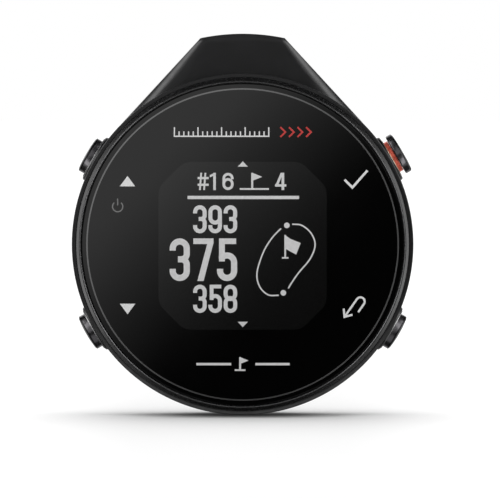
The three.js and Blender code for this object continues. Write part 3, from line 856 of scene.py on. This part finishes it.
def glyph(character, pen):
    """The strokes of a digit or number sign."""
    half = pen.y + pen.height * 0.51
    turn = pen.radius * 0.75
    upright = pen.weight / pen.width
    level = 0.92 * pen.weight / pen.height
    if character == "1":
        flag = pen.fill([(0.1, 0.87), (0.1, 0.73), (0.45, 0.82), (0.72, 1.0), (0.6, 1.0)])
        return [pen.bar(0.45, 0, 0.45 + upright, 1), flag]
    if character == "3":
        waist = Vector((pen.middle - pen.weight * 0.3, half))
        into = arc((pen.right - turn, half + turn), turn, 0, -90, 6)
        out = arc((pen.right - turn, half - turn), turn, 90, 0, 6)
        top = [*pen.hook_top(half + turn, pen.terminal), *into[1:], waist]
        bottom = [waist, *out, *pen.hook_bottom(half - turn, pen.terminal)[1:]]
        return [pen.line(top), pen.line(bottom)]
    if character == "4":
        stem = pen.bar(0.58, 0, 0.58 + upright, 1)
        shelf = pen.bar(0, 0.2, 1, 0.2 + 0.9 * pen.weight / pen.height)
        slope = pen.fill([(0, 0.22), (upright, 0.22), (0.62 + upright * 0.5, 1), (0.5, 1)])
        return [stem, shelf, slope]
    if character == "5":
        top = pen.bar(0.1, 1 - level, 0.95, 1)
        side = pen.bar(0.1, 0.46, 0.1 + 0.95 * upright, 1)
        bend_y = pen.y + pen.height * 0.6 - pen.radius
        start = Vector((pen.x + 0.1 * pen.width + pen.weight / 2, pen.y + pen.height * 0.5))
        shoulder = arc((pen.middle, bend_y), pen.radius, 150, 0)
        lower = pen.hook_bottom(bend_y, pen.terminal)
        return [top, side, pen.line([start, *shoulder[1:], *lower[1:]])]
    if character == "6":
        over = pen.hook_top(0, 0)[1:-1]
        right_end = Vector((pen.right, pen.high - pen.radius - pen.terminal))
        left_end = Vector((pen.left, pen.low + pen.radius))
        return [pen.bowl(pen.low, pen.y + 0.62 * pen.height), pen.line([left_end, *over, right_end])]
    if character == "7":
        slope = pen.fill([(0.2, 0), (0.2 + upright * 1.02, 0), (1, 0.9), (1, 1), (1 - upright, 0.88)])
        return [pen.bar(0, 1 - level, 1, 1), slope]
    if character == "8":
        overlap = pen.weight * 0.12
        return [pen.bowl(pen.low, half + overlap), pen.bowl(half - overlap, pen.high)]
    if character == "9":
        under = pen.hook_bottom(pen.y + pen.height * 0.5, pen.terminal)
        tail = [Vector((pen.right, pen.high - pen.radius)), *under]
        return [pen.bowl(pen.y + 0.38 * pen.height, pen.high), pen.line(tail)]
    slants = [pen.fill([(a, 0), (a + 0.16, 0), (a + 0.28, 1), (a + 0.12, 1)]) for a in (0.12, 0.5)]
    return slants + [pen.bar(0, b, 1, b + 0.13) for b in (0.24, 0.63)]


def number(text, x, y, width, height, weight, pitch=0):
    """The glyphs of a number, each a clean solid."""
    pens = [Pen(x + k * pitch, y, width, height, weight) for k in range(len(text))]
    return [as_bmesh(joined(glyph(character, pen))) for character, pen in zip(text, pens)]


def triangle(x, base, apex, half_width, heights):
    return prism([(x - half_width, base), (x + half_width, base), (x, apex)], *heights)


def small_flag(x, y, height, heights, weight):
    """A pin flag on its pole, x and y at the foot of the pole."""
    top = y + height
    pole = stroke([(x, y), (x, top)], weight, *heights)
    cloth = prism([(x, top), (x, y + 0.5 * height), (x + 0.62 * height, y + 0.75 * height)], *heights)
    return [pole, cloth]


def header():
    """A number sign and the hole's number, a flag on the ground, and the stroke count, over a rule."""
    foot, height, ground = 7.65, 2.42, 7.8
    glyphs = [("#", -6.3, 1.55, 0.36), ("1", -4.75, 1.4, 0.37)]
    glyphs += [("6", -2.82, 1.56, 0.37), ("4", 4.55, 1.58, 0.37)]
    marks = []
    for text, x, width, weight in glyphs:
        marks += number(text, x, foot, width, height, weight)
    marks.append(stroke([(-7.72, 6.61), (7.92, 6.61)], 0.46, *LIT))
    marks.append(stroke([(-0.4, ground), (3.7, ground)], 0.24, *LIT))
    return marks + small_flag(1.35, ground, 2.27, LIT, 0.28)


def green():
    """The green's outline in two curves between two dots, and a waving flag inside it."""
    far_side = [(6.96, 2.86), (8.3, 2.7), (9.6, 1.6), (10.17, -0.03)]
    far_side += [(9.5, -1.95), (7.9, -3.9), (6.95, -5.25), (6.41, -6.14)]
    near_side = [(5.08, -7.12), (3.6, -7.05), (2.4, -5.9), (2.02, -3.95)]
    near_side += [(2.9, -1.1), (4.1, 0.9), (5.39, 2.27)]
    marks = [stroke(smooth_path(side), 0.2, *LIT) for side in (far_side, near_side)]
    marks += [prism(arc(centre, 0.4, 0, 360, 24)[:-1], *LIT) for centre in ((6.21, 2.7), (5.72, -6.77))]
    marks.append(stroke([(5.98, 1.34), (5.98, -1.9)], 0.24, *LIT))
    marks.append(stroke([(5.52, -1.86), (6.44, -1.86)], 0.22, *LIT))
    cloth = [(5.87, 1.4), (6.7, 0.8), (8.15, 0.23), (7.52, -1.39), (6.8, -1.02), (5.95, -0.55)]
    return marks + [prism(cloth, *LIT)]


def screen():
    piece("screen_ground", prism(screen_outline(), *PRINT), "case", SCREEN)
    distances = number("393", -6.94, 1.59, 1.9, 3.93, 0.56, 2.14)
    distances += number("375", -10.23, -5.11, 2.83, 5.98, 0.86, 3.32)
    distances += number("358", -6.94, -9.59, 1.9, 3.96, 0.56, 2.14)
    arrows = [triangle(0.03, base, apex, 0.71, LIT) for base, apex in ((10.93, 11.68), (-10.83, -11.58))]
    ink("screen_distances", distances, PIXELS)
    ink("screen_header", header(), PIXELS)
    ink("screen_arrows", arrows, PIXELS)
    ink("screen_green", green(), PIXELS)


def side_marks():
    """The marks beside the four buttons, and the power sign."""
    arrows = [triangle(-16.14, base, apex, 1.08, PRINT) for base, apex in ((8.17, 9.62), (-8.3, -9.77))]
    ink("glass_arrows", arrows, WHITE_INK)
    power_x, power_y = -17.52, 5.33
    power = [stroke(arc((power_x, power_y), 0.72, 130, 410, 28), 0.17, *PRINT)]
    power += [stroke([(power_x, power_y + 0.17), (power_x, power_y + 1.12)], 0.17, *PRINT)]
    ink("glass_power_mark", power, GREY_INK)
    ink("glass_select_mark", [stroke([(14.3, 9.1), (15.4, 8.0), (17.5, 10.4)], 0.32, *PRINT)], WHITE_INK)
    hook = [Vector((-1.7, 0.5)), *arc((1.2, -0.1), 0.6, 90, -90), Vector((-0.2, -0.7))]
    head = [(-0.95, 1.25), (-1.85, 0.5), (-0.95, -0.25)]
    back = [moved(stroke(path, 0.28, *PRINT), at(15.76, -8.92, 55)) for path in (hook, head)]
    ink("glass_return_mark", back, WHITE_INK)


def ruler():
    """A ruler scale at the top of the glass, and the chevrons that end it."""
    low, high = 15.1, 16.46
    left, length, divisions = -9.56, 13.23, 20
    scale = [stroke([(left - 0.09, low + 0.09), (left + length + 0.09, low + 0.09)], 0.18, *PRINT)]
    for k in range(divisions + 1):
        x = left + k * length / divisions
        scale.append(stroke([(x, low), (x, high if k % 5 == 0 else low + 0.78)], 0.17, *PRINT))
    ink("glass_scale", scale, WHITE_INK)
    chevrons = []
    for k in range(4):
        x = 5.3 + k * 1.2
        chevrons.append(stroke([(x, low), (x + 0.7, (low + high) / 2), (x, high)], 0.24, *PRINT))
    ink("glass_scale_end", chevrons, RED_INK)


def foot_mark():
    """A flag between two bars at the bottom of the glass."""
    bar_y = -16.78
    marks = small_flag(-0.35, -17.7, 1.9, PRINT, 0.26)
    for left, right in ((-6.48, -1.6), (1.8, 6.61)):
        marks.append(stroke([(left, bar_y), (right, bar_y)], 0.34, *PRINT))
    marks.append(stroke([(-1.1, -17.62), (0.4, -17.62)], 0.24, *PRINT))
    ink("glass_foot_mark", marks, WHITE_INK)


def lens_prints():
    inner, outer = 21.73, 21.93
    low, high = PRINT
    ink("glass_edge_line", [lathe([(inner, low), (outer, low), (outer, high), (inner, high)])], EDGE_INK)
    side_marks()
    ruler()
    foot_mark()


screen()
lens_prints()


# ---- Buttons ----

STEM_RADIUS, GROOVE_RADIUS = 0.85, 0.55
STEM = [(0, 20.3), (STEM_RADIUS, 20.3, 0.1), (STEM_RADIUS, 20.9)]
STEM += [(GROOVE_RADIUS, 20.9), (GROOVE_RADIUS, 21.25), (STEM_RADIUS, 21.25)]


def plain_cap():
    top, under, foot = 25.47, 24.85, 24.0
    inner, outer = 2.1, 2.62
    skirt = [(STEM_RADIUS, under), (inner, under), (inner, foot), (outer, foot, 0.08)]
    skirt += [(outer, top - 0.3, 0.12)]
    return STEM + skirt + [(2.3, top - 0.15, 0.3), (1.2, top - 0.03, 0.6), (0, top)]


def proud_cap():
    top, under, outer = 26.02, 24.9, 2.98
    skirt = [(STEM_RADIUS, under), (outer, under, 0.16), (outer, top - 0.3, 0.12)]
    return STEM + skirt + [(2.7, top - 0.12, 0.3), (1.6, top - 0.02, 0.6), (0, top)]


def spring_path(radius, low, high, turns, steps=24):
    count = int(turns * steps)
    points = []
    for k in range(count + 1):
        angle = 2 * math.pi * k / steps
        points.append((radius * math.cos(angle), radius * math.sin(angle), low + (high - low) * k / count))
    return points


def button(name, angle):
    body = f"{name}_button"
    place = ROW @ on_axis(angle)
    proud = name == "ok"
    metal_finish = PROUD_GUNMETAL if proud else PLAIN_GUNMETAL
    cap = turned(proud_cap() if proud else plain_cap(), BUTTON_STEPS)
    piece(f"{name}_cap", cap, body, metal_finish, [f"{name}_button_cap"], place)
    radius, floor = PROUD_RECESS if proud else PLAIN_RECESS
    inner, outer, crest = radius + 0.02, radius + 0.3, 24.26 if proud else 24.3
    foot = BOSS_FACE - 0.03
    rim = [(inner, foot), (outer, foot), (outer, crest, 0.03), (inner, crest, 0.03)]
    ring_finish = PALE_TRIM if proud else GREY_TRIM
    piece(f"{name}_trim_ring", turned(rim, BUTTON_STEPS), "case", ring_finish, place=place)
    if proud:
        inner, outer, foot, crest = 1.95, 2.35, 23.7, 24.85
        wall = [(inner, foot), (outer, foot, 0.1), (outer, crest, 0.06), (inner, crest)]
        sleeve = turned(wall, BUTTON_STEPS)
        piece("ok_red_sleeve", sleeve, body, RED, ["ok_button_collar"], place)
    top, coil_radius, wire = 24.68, 1.68, 0.15
    coil = sweep(spring_path(coil_radius, floor + 0.2, top, turns=3), wire, 8)
    spring = piece(f"{name}_coil", coil, "case", STEEL, [f"{name}_button_spring"], place)
    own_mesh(spring)


for button_name, button_angle in BUTTONS.items():
    button(button_name, button_angle)


# ---- Back ----

PORT_Y = -17.6
CONTACT_PITCH = 1.5
CONTACT_XS = [(k - 1.5) * CONTACT_PITCH for k in range(4)]


def rounded_slot(width, height, radius, centre_y, steps=5):
    x, low, high = width / 2, centre_y - height / 2, centre_y + height / 2
    return fillet([(x, low, radius), (x, high, radius), (-x, high, radius), (-x, low, radius)], steps=steps)


def rear_cover():
    """A dished cover with a fine groove round its outer face, and a spigot that holds the gasket."""
    inner_face, spigot, groove, spigot_end, bore = 1.2, 21.3, 20.8, 2.7, 20.2
    face = [(0, 0.12), (13.5, 0.12), (13.8, 0, 0.1), (21.0, 0, 0.05), (21.08, 0.18, 0.04)]
    face += [(21.32, 0.18, 0.04), (21.4, 0, 0.05), (22.5, 0, 0.5)]
    edge = [(COVER_RADIUS, 0.5, 0.4), (COVER_RADIUS, inner_face, 0.08), (spigot, inner_face)]
    seat = [(spigot, 1.7), (groove, 1.7), (groove, 2.3), (spigot, 2.3), (spigot, spigot_end)]
    inside = [(bore, spigot_end), (bore, inner_face), (0, inner_face)]
    cover = loose_object(turned([*face, *edge, *seat, *inside], arc_steps=4))
    tools = [prism(rounded_slot(7.2, 2.8, 0.8, PORT_Y), -1, 2)]
    mouth, head, shank = 1.95, 1.75, 0.95
    hole = [(0, -1), (mouth, -1), (mouth, -0.05), (head, 0.15), (head, 0.65)]
    hole += [(shank, 0.65), (shank, 2), (0, 2)]
    tools += [moved(lathe(hole, 48), at(*place)) for place in SCREW_PLACES]
    return combine("DIFFERENCE", cover, tools)


def screw():
    head, shank, tip = 1.6, 0.8, 0.5
    profile = [(0, 0.1), (head, 0.1, 0.22), (head, 0.55), (shank, 0.55), (shank, 4.2), (tip, 4.5), (0, 4.5)]
    body = loose_object(turned(profile, 48))
    socket = prism(arc((0, 0), 0.75, 0, 360, 6)[:-1], -1, 0.42)
    return combine("DIFFERENCE", body, [socket])


piece("back_plate", rear_cover(), "case", POLYMER, ["rear_cover"])
for index, screw_place in enumerate(SCREW_PLACES, start=1):
    place = ROW @ at(*screw_place) @ Matrix.Rotation(0.4 * index, 4, "Z")
    piece(f"back_screw_{index}", screw(), "case", STEEL, [f"cover_screw_{index}"], place)


def contact_block():
    half_width, half_height = 4, 1.7
    low, high = (-half_width, PORT_Y - half_height, 1.3), (half_width, PORT_Y + half_height, 4.4)
    base = loose_object(block(low, high))
    combine("UNION", base, [prism(rounded_slot(6.6, 2.2, 0.6, PORT_Y), 0.55, 2)])
    wells = [moved(rod(0.57, 0, 1, 32), at(x, PORT_Y)) for x in CONTACT_XS]
    return combine("DIFFERENCE", base, wells)


piece("contact_block", contact_block(), "case", POLYMER, ["charge_port"])
for index, contact_x in enumerate(CONTACT_XS, start=1):
    contact = rod(0.5, 0.4, 0.95, 40, foot=0.12)
    place = ROW @ at(contact_x, PORT_Y)
    piece(f"contact_{index}", contact, "case", GOLD, [f"charge_pin_{index}"], place)


# ---- Belt clip ----

CLIP_INNER = -4.7
CLIP_NOSE = -0.85
HINGE_RELIEF = 2.0


def curved(points, steps=8):
    """A path through the points, where a pair of points is a quadratic curve's control and its end."""
    path = []
    for point in points:
        if not isinstance(point[0], tuple):
            path.append(Vector(point))
            continue
        start, control, end = path[-1], Vector(point[0]), Vector(point[1])
        shares = [k / steps for k in range(1, steps + 1)]
        path += [start * (1 - t) ** 2 + control * 2 * t * (1 - t) + end * t**2 for t in shares]
    return path


def clip_side():
    """The lever seen from the side, as (y, z): thumb tab, knuckle, flat tongue and hooked nose."""
    top, outer, bottom = CLIP_HIGH.y, CLIP_LOW.z, CLIP_LOW.y
    tab = [(top, -2.1), (top, -3.4), ((27, -4.8), (24.5, -6)), ((22, outer), (18.5, outer)), (-6, outer)]
    hook = [((-9.6, outer), (-10.9, -4)), ((-11.4, -2.9), (-12.4, -2.9)), (bottom, -3.6), (bottom, -2)]
    nose = [((-12.8, CLIP_NOSE), (-12, CLIP_NOSE)), (-10.6, CLIP_NOSE), ((-10, CLIP_NOSE), (-9.2, -2.2))]
    inside = [((-7.2, CLIP_INNER), (-3.6, CLIP_INNER)), (18.2, CLIP_INNER)]
    knuckle = [((21.4, CLIP_INNER), (23.4, -3)), (24.2, HINGE_Z), (26.5, HINGE_Z), (27.3, -2.6)]
    return curved([*tab, *hook, *nose, *inside, *knuckle])


def clip_front():
    """The lever seen from the front."""
    top, bottom, side = CLIP_HIGH.y, CLIP_LOW.y, CLIP_HIGH.x
    right = curved([(5, top), ((8.6, 24.6), (side, 18)), (side, -8), ((side, bottom), (4.5, bottom))], 12)
    return right + [Vector((-p.x, p.y)) for p in reversed(right)]


def clip_lever():
    half = CLIP_HIGH.x
    lever = loose_object(side_prism(clip_side(), -half - 1, half + 1))
    combine("INTERSECT", lever, [prism(clip_front(), -9, 1)])
    spring_gap, ear_gap = 2.8, 5.15
    gaps = [(-spring_gap, spring_gap), (ear_gap, half + 2), (-half - 2, -ear_gap)]
    combine("DIFFERENCE", lever, [bar(HINGE_RELIEF, *gap) for gap in gaps])
    outer = CLIP_LOW.z
    panel = prism(rounded_slot(12.5, 20, 2.5, 6.5, 6), outer - 1, outer + 0.3)
    combine("DIFFERENCE", lever, [panel])
    round_edges(lever, 0.3)
    knuckle = (2.9, 5.05)
    combine("UNION", lever, [bar(KNUCKLE_RADIUS, *sorted(side * x for x in knuckle)) for side in (-1, 1)])
    ridge_half = 3.6
    ridge_places = ((28.2, -3.78), (27.3, -4.38), (26.4, -4.98))
    ridges = [bar(0.28, -ridge_half, ridge_half, y, z, 20) for y, z in ridge_places]
    combine("UNION", lever, ridges)
    return combine("DIFFERENCE", lever, [bar(PIN_RADIUS + 0.15, -half, half)])


def grip_pad():
    low, high = layout_box("clip_pad")
    pad = round_edges(loose_object(block(low, high)), 0.12)
    count, half, depth = 9, 0.12, 0.16
    grooves = []
    for k in range(count):
        x = low.x + (high.x - low.x) * (k + 0.5) / count
        grooves.append(block((x - half, low.y - 1, high.z - depth), (x + half, high.y + 1, high.z + 1)))
    return combine("DIFFERENCE", pad, grooves)


def torsion_path():
    """Leg on the lug, coil round the pin, leg on the thumb tab."""
    reach, radius, turns, steps = 2.3, 1.35, 4.5, 24
    count = int(turns * steps)
    coil = []
    for k in range(count + 1):
        angle = math.pi / 2 + 2 * math.pi * k / steps
        x = reach * (2 * k / count - 1)
        coil.append(Vector((x, HINGE_Y + radius * math.cos(angle), HINGE_Z + radius * math.sin(angle))))
    lug_leg = [Vector((-reach, 28.4, 1.6)).lerp(coil[0], k / 6) for k in range(6)]
    tab_leg = [coil[-1].lerp(Vector((reach, 28.4, -1.7)), k / 6) for k in range(1, 7)]
    return lug_leg + coil + tab_leg, reach


piece("belt_clip", clip_lever(), "clip", POLYMER, ["clip_lever"])
piece("clip_grip_pad", grip_pad(), "clip", RUBBER, ["clip_pad"])

hinge_pin = rod(PIN_RADIUS, PIN_LOW.x, PIN_HIGH.x, 40, foot=0.15, rim=0.15)
pin_place = ROW @ Matrix.Translation((0, HINGE_Y, HINGE_Z)) @ Matrix.Rotation(math.pi / 2, 4, "Y")
piece("clip_hinge_pin", hinge_pin, "case", STEEL, ["hinge_pin"], pin_place)

wire_path, wire_reach = torsion_path()
wire = piece("clip_coil_spring", sweep(wire_path, 0.24), None, STEEL, ["clip_spring"])
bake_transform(wire)


# ---- CAD nodes that stay ----

STEEL_PARTS = [f"{name}_button_{part}" for name in BUTTONS for part in ("bush", "switch", "retainer")]
KEPT = [
    (RUBBER, ["lens_gasket", "battery_pad", "rear_gasket", *[f"{name}_button_seal" for name in BUTTONS]]),
    (STEEL, ["display_frame", "shield_can", *STEEL_PARTS]),
    (FILM, ["display_flex", "gps_antenna", "battery_lead"]),
    (SCREEN, ["display_panel"]),
    (GUIDE, ["display_backlight"]),
    (BOARD, ["main_board"]),
    (FOIL, ["battery"]),
]
for finish, node_names in KEPT:
    for node_name in node_names:
        for material_slot in frame["nodes"][node_name].material_slots:
            material_slot.material = finish


# ---- Studio ----

VIEW_DISTANCE = 1000.0
VIEW_WIDTH = 70.13
VIEW_AIM = (1.04, -0.76)
VIEW_ELEVATION = math.radians(1.5)
AMBIENT = 0.42


def camera():
    data = bpy.data.cameras.new("camera")
    data.sensor_width = 36
    data.lens = data.sensor_width * VIEW_DISTANCE / VIEW_WIDTH
    data.clip_start = 0.05
    obj = new_object("camera", data)
    back = Vector((0, -math.cos(VIEW_ELEVATION), math.sin(VIEW_ELEVATION)))
    aim = Vector((VIEW_AIM[0] * MM, 0, VIEW_AIM[1] * MM))
    obj.location = aim + back * VIEW_DISTANCE * MM
    obj.rotation_euler = (-back).to_track_quat("-Z", "Y").to_euler()
    bpy.context.scene.camera = obj


def lamp(name, kind, position, power, **settings):
    """A lamp aimed at the object, which the camera doesn't see."""
    data = bpy.data.lights.new(name, kind)
    data.energy = power
    for setting, value in settings.items():
        setattr(data, setting, value)
    obj = new_object(name, data)
    obj.location = position
    obj.rotation_euler = (-Vector(position)).to_track_quat("-Z", "Y").to_euler()
    obj.visible_camera = False
    return obj


def card(name, position, power, width, height, names):
    """A bright card that only these pieces reflect."""
    obj = lamp(name, "AREA", position, power, shape="RECTANGLE", size=width, size_y=height)
    obj.visible_diffuse = False
    receivers = bpy.data.collections.new(f"{name} receivers")
    for receiver in names:
        receivers.objects.link(bpy.data.objects[receiver])
    obj.light_linking.receiver_collection = receivers


def lamps():
    overhead = lamp("overhead", "SUN", (0, 0.55, 1), 2.15, angle=math.radians(90))
    overhead.visible_glossy = False
    side_metal = [f"{name}_{part}" for name in BUTTONS for part in ("cap", "trim_ring")] + ["bezel_lip"]
    for side in (-1, 1):
        place = (side * 0.042, -0.030, 0)
        card(f"side_card_{side + 2}", place, 0.015, width=0.02, height=0.11, names=side_metal)
    card("rim_card", (0, -0.128, -0.075), 0.09, width=0.2, height=0.06, names=["case_shell"])


FLOOR_SIZE = 5.0
PAINTED_SHADOW_HALF_WIDTH = 0.019
PAINTED_SHADOW_HALF_DEPTH = 0.010


def floor_paper():
    """White paper, lifted to either side of the object by a painted glow, with a painted shadow round its
    foot.
    """
    sockets = {"Specular_IOR_Level": 0.0, "Emission_Color": (1, 1, 1, 1)}
    paper = Finish("floor paper", (0.93, 0.93, 0.93), 0.9, **sockets).mottle(30.0, 0.004)
    split = paper.node("ShaderNodeSeparateXYZ")
    paper.feed(split.inputs[0], paper.spot())
    # painted glow: the paper's emission rises from 0.06 under the object to 0.22 to either side, lifting
    # the shade there
    glow = paper.ramp(paper.maths("ABSOLUTE", split.outputs["X"]), 0.012, 0.034, 0.06, 0.22, "SMOOTHSTEP")
    # painted shadow: an ellipse round the object's foot where the paper's colour and glow are darkened
    shares = (1 / PAINTED_SHADOW_HALF_WIDTH, 1 / PAINTED_SHADOW_HALF_DEPTH, 0)
    from_foot = paper.vector_maths("MULTIPLY", paper.spot(), shares).outputs[0]
    distance = paper.vector_maths("LENGTH", from_foot).outputs["Value"]
    painted_shadow = paper.ramp(distance, 0.1, 1.0, 0.15, 1.0, "SMOOTHSTEP")
    paper.feed(paper.sockets["Emission Strength"], paper.product(glow, painted_shadow))
    painted_shadow_colour = paper.vector_maths("SCALE", paper.colour())
    paper.feed(painted_shadow_colour.inputs["Scale"], painted_shadow)
    paper.feed(paper.sockets["Base Color"], painted_shadow_colour.outputs[0])
    return paper.material


def floor():
    bm = bmesh.new()
    signs = [(-1, -1), (1, -1), (1, 1), (-1, 1)]
    bm.faces.new([bm.verts.new((x * FLOOR_SIZE, y * FLOOR_SIZE, 0)) for x, y in signs])
    obj = loose_object(bm, "floor")
    obj.location.z = cad_bounds[0].z
    obj.data.materials.append(floor_paper())
    obj.visible_glossy = False


class Studio(Nodes):
    """An even light for diffuse surfaces, and a studio of panels for reflections. A panel is a product of
    rises over the direction, and of its strength."""

    def __init__(self):
        world = bpy.data.worlds.new("studio")
        world.use_nodes = True
        world.cycles.sampling_method = "NONE"
        bpy.context.scene.world = world
        super().__init__(world.node_tree)
        self.tree.nodes.clear()
        split = self.node("ShaderNodeSeparateXYZ")
        self.feed(split.inputs[0], self.node("ShaderNodeTexCoord").outputs["Generated"])
        self.x, self.y, self.z = split.outputs
        self.sideways = self.maths("ABSOLUTE", self.x)
        self.level = self.maths("ABSOLUTE", self.z)

    def towards(self, x, y, z, sideways=None):
        """How closely a direction agrees with this one, from -1 to 1."""
        along_x = self.maths("MULTIPLY", sideways or self.x, x)
        return self.total(along_x, self.maths("MULTIPLY", self.y, y), self.maths("MULTIPLY", self.z, z))

    def front_box(self):
        """A box in front whose lower right edge fades across the glass."""
        across, up = -0.69, 0.72
        camera_x = VIEW_AIM[0]
        camera_z = VIEW_AIM[1] + VIEW_DISTANCE * math.sin(VIEW_ELEVATION)
        fade_start, fade_length = -8.4, 25.0
        start = (across * camera_x + up * camera_z - fade_start) / VIEW_DISTANCE
        slope = self.maths("ADD", self.towards(across, 0, up), start)
        fade = self.maths("DIVIDE", slope, fade_length / VIEW_DISTANCE, clamp=True)
        return self.product(self.maths("POWER", fade, 1.75), self.rise(self.y, -0.90, -0.95), 0.82)

    def side_walls(self):
        """Bright panels at both sides and behind, between a dark ceiling and a dark floor."""
        beside = self.rise(self.sideways, 0.5, 0.85)
        behind = self.rise(self.y, -0.05, 0.25)
        return self.product(beside, behind, self.rise(self.level, 0.62, 0.3), 1.5)

    def high_strips(self):
        """A bright strip high at each side."""
        return self.product(self.rise(self.towards(0.84, -0.15, 0.52, self.sideways), 0.88, 0.97), 4.0)

    def front_sides(self):
        """A dim light at both sides of the front, a pair of panels in line with the lug's flanks, and a
        small pair in line with its top edge."""
        front = self.product(self.rise(self.y, -0.96, -0.9), self.rise(self.y, 0.1, -0.3))
        beside = self.rise(self.sideways, 0.5, 0.8)
        lean = self.maths("SUBTRACT", self.sideways, self.maths("MULTIPLY", self.z, 0.85))
        outward = self.rise(self.sideways, 0.15, 0.8)
        flank = self.product(self.rise(lean, -0.05, 0.05), outward, self.rise(self.z, 0.1, 0.3))
        strip = self.product(self.rise(self.sideways, 0.02, 0.1), self.rise(self.sideways, 0.3, 0.2))
        top_edge = self.product(strip, self.rise(self.z, 0.2, 0.4))
        panels = self.total(self.product(flank, 2.4), self.product(top_edge, 0.9))
        return self.product(front, self.total(self.product(beside, 0.26), panels))

    def floor_bounce(self):
        """The lit floor in front and the far floor behind, since reflections don't show the real floor."""
        below = self.rise(self.z, -0.25, -0.5)
        beside = self.rise(self.sideways, 0.03, 0.15)
        front = self.product(below, self.rise(self.y, -0.05, -0.35), beside, 0.6)
        far_floor = self.product(self.rise(self.z, -0.08, -0.2), self.rise(self.z, -0.75, -0.55))
        return self.total(front, self.product(far_floor, self.rise(self.y, 0.4, 0.65), 0.6))

    def back_box(self):
        """A box high behind, seen only in surfaces that face up or back."""
        return self.product(self.rise(self.towards(-0.1, 0.94, 0.33), 0.87, 0.97), 1.2)

    def build(self):
        glow = 0.02
        front = self.total(self.front_box(), self.side_walls(), self.high_strips(), self.front_sides())
        studio = self.total(front, self.floor_bounce(), self.back_box(), glow)
        path = self.node("ShaderNodeLightPath")
        glossy = path.outputs["Is Glossy Ray"]
        even = self.maths("MAXIMUM", path.outputs["Is Camera Ray"], AMBIENT)
        other = self.product(even, self.maths("SUBTRACT", 1.0, glossy))
        background = self.node("ShaderNodeBackground", Color=(1, 1, 1, 1))
        self.feed(background.inputs["Strength"], self.total(self.product(studio, glossy), other))
        output = self.node("ShaderNodeOutputWorld")
        self.feed(output.inputs[0], background.outputs[0])


camera()
lamps()
floor()
Studio().build()
bpy.context.scene.view_settings.view_transform = "Standard"
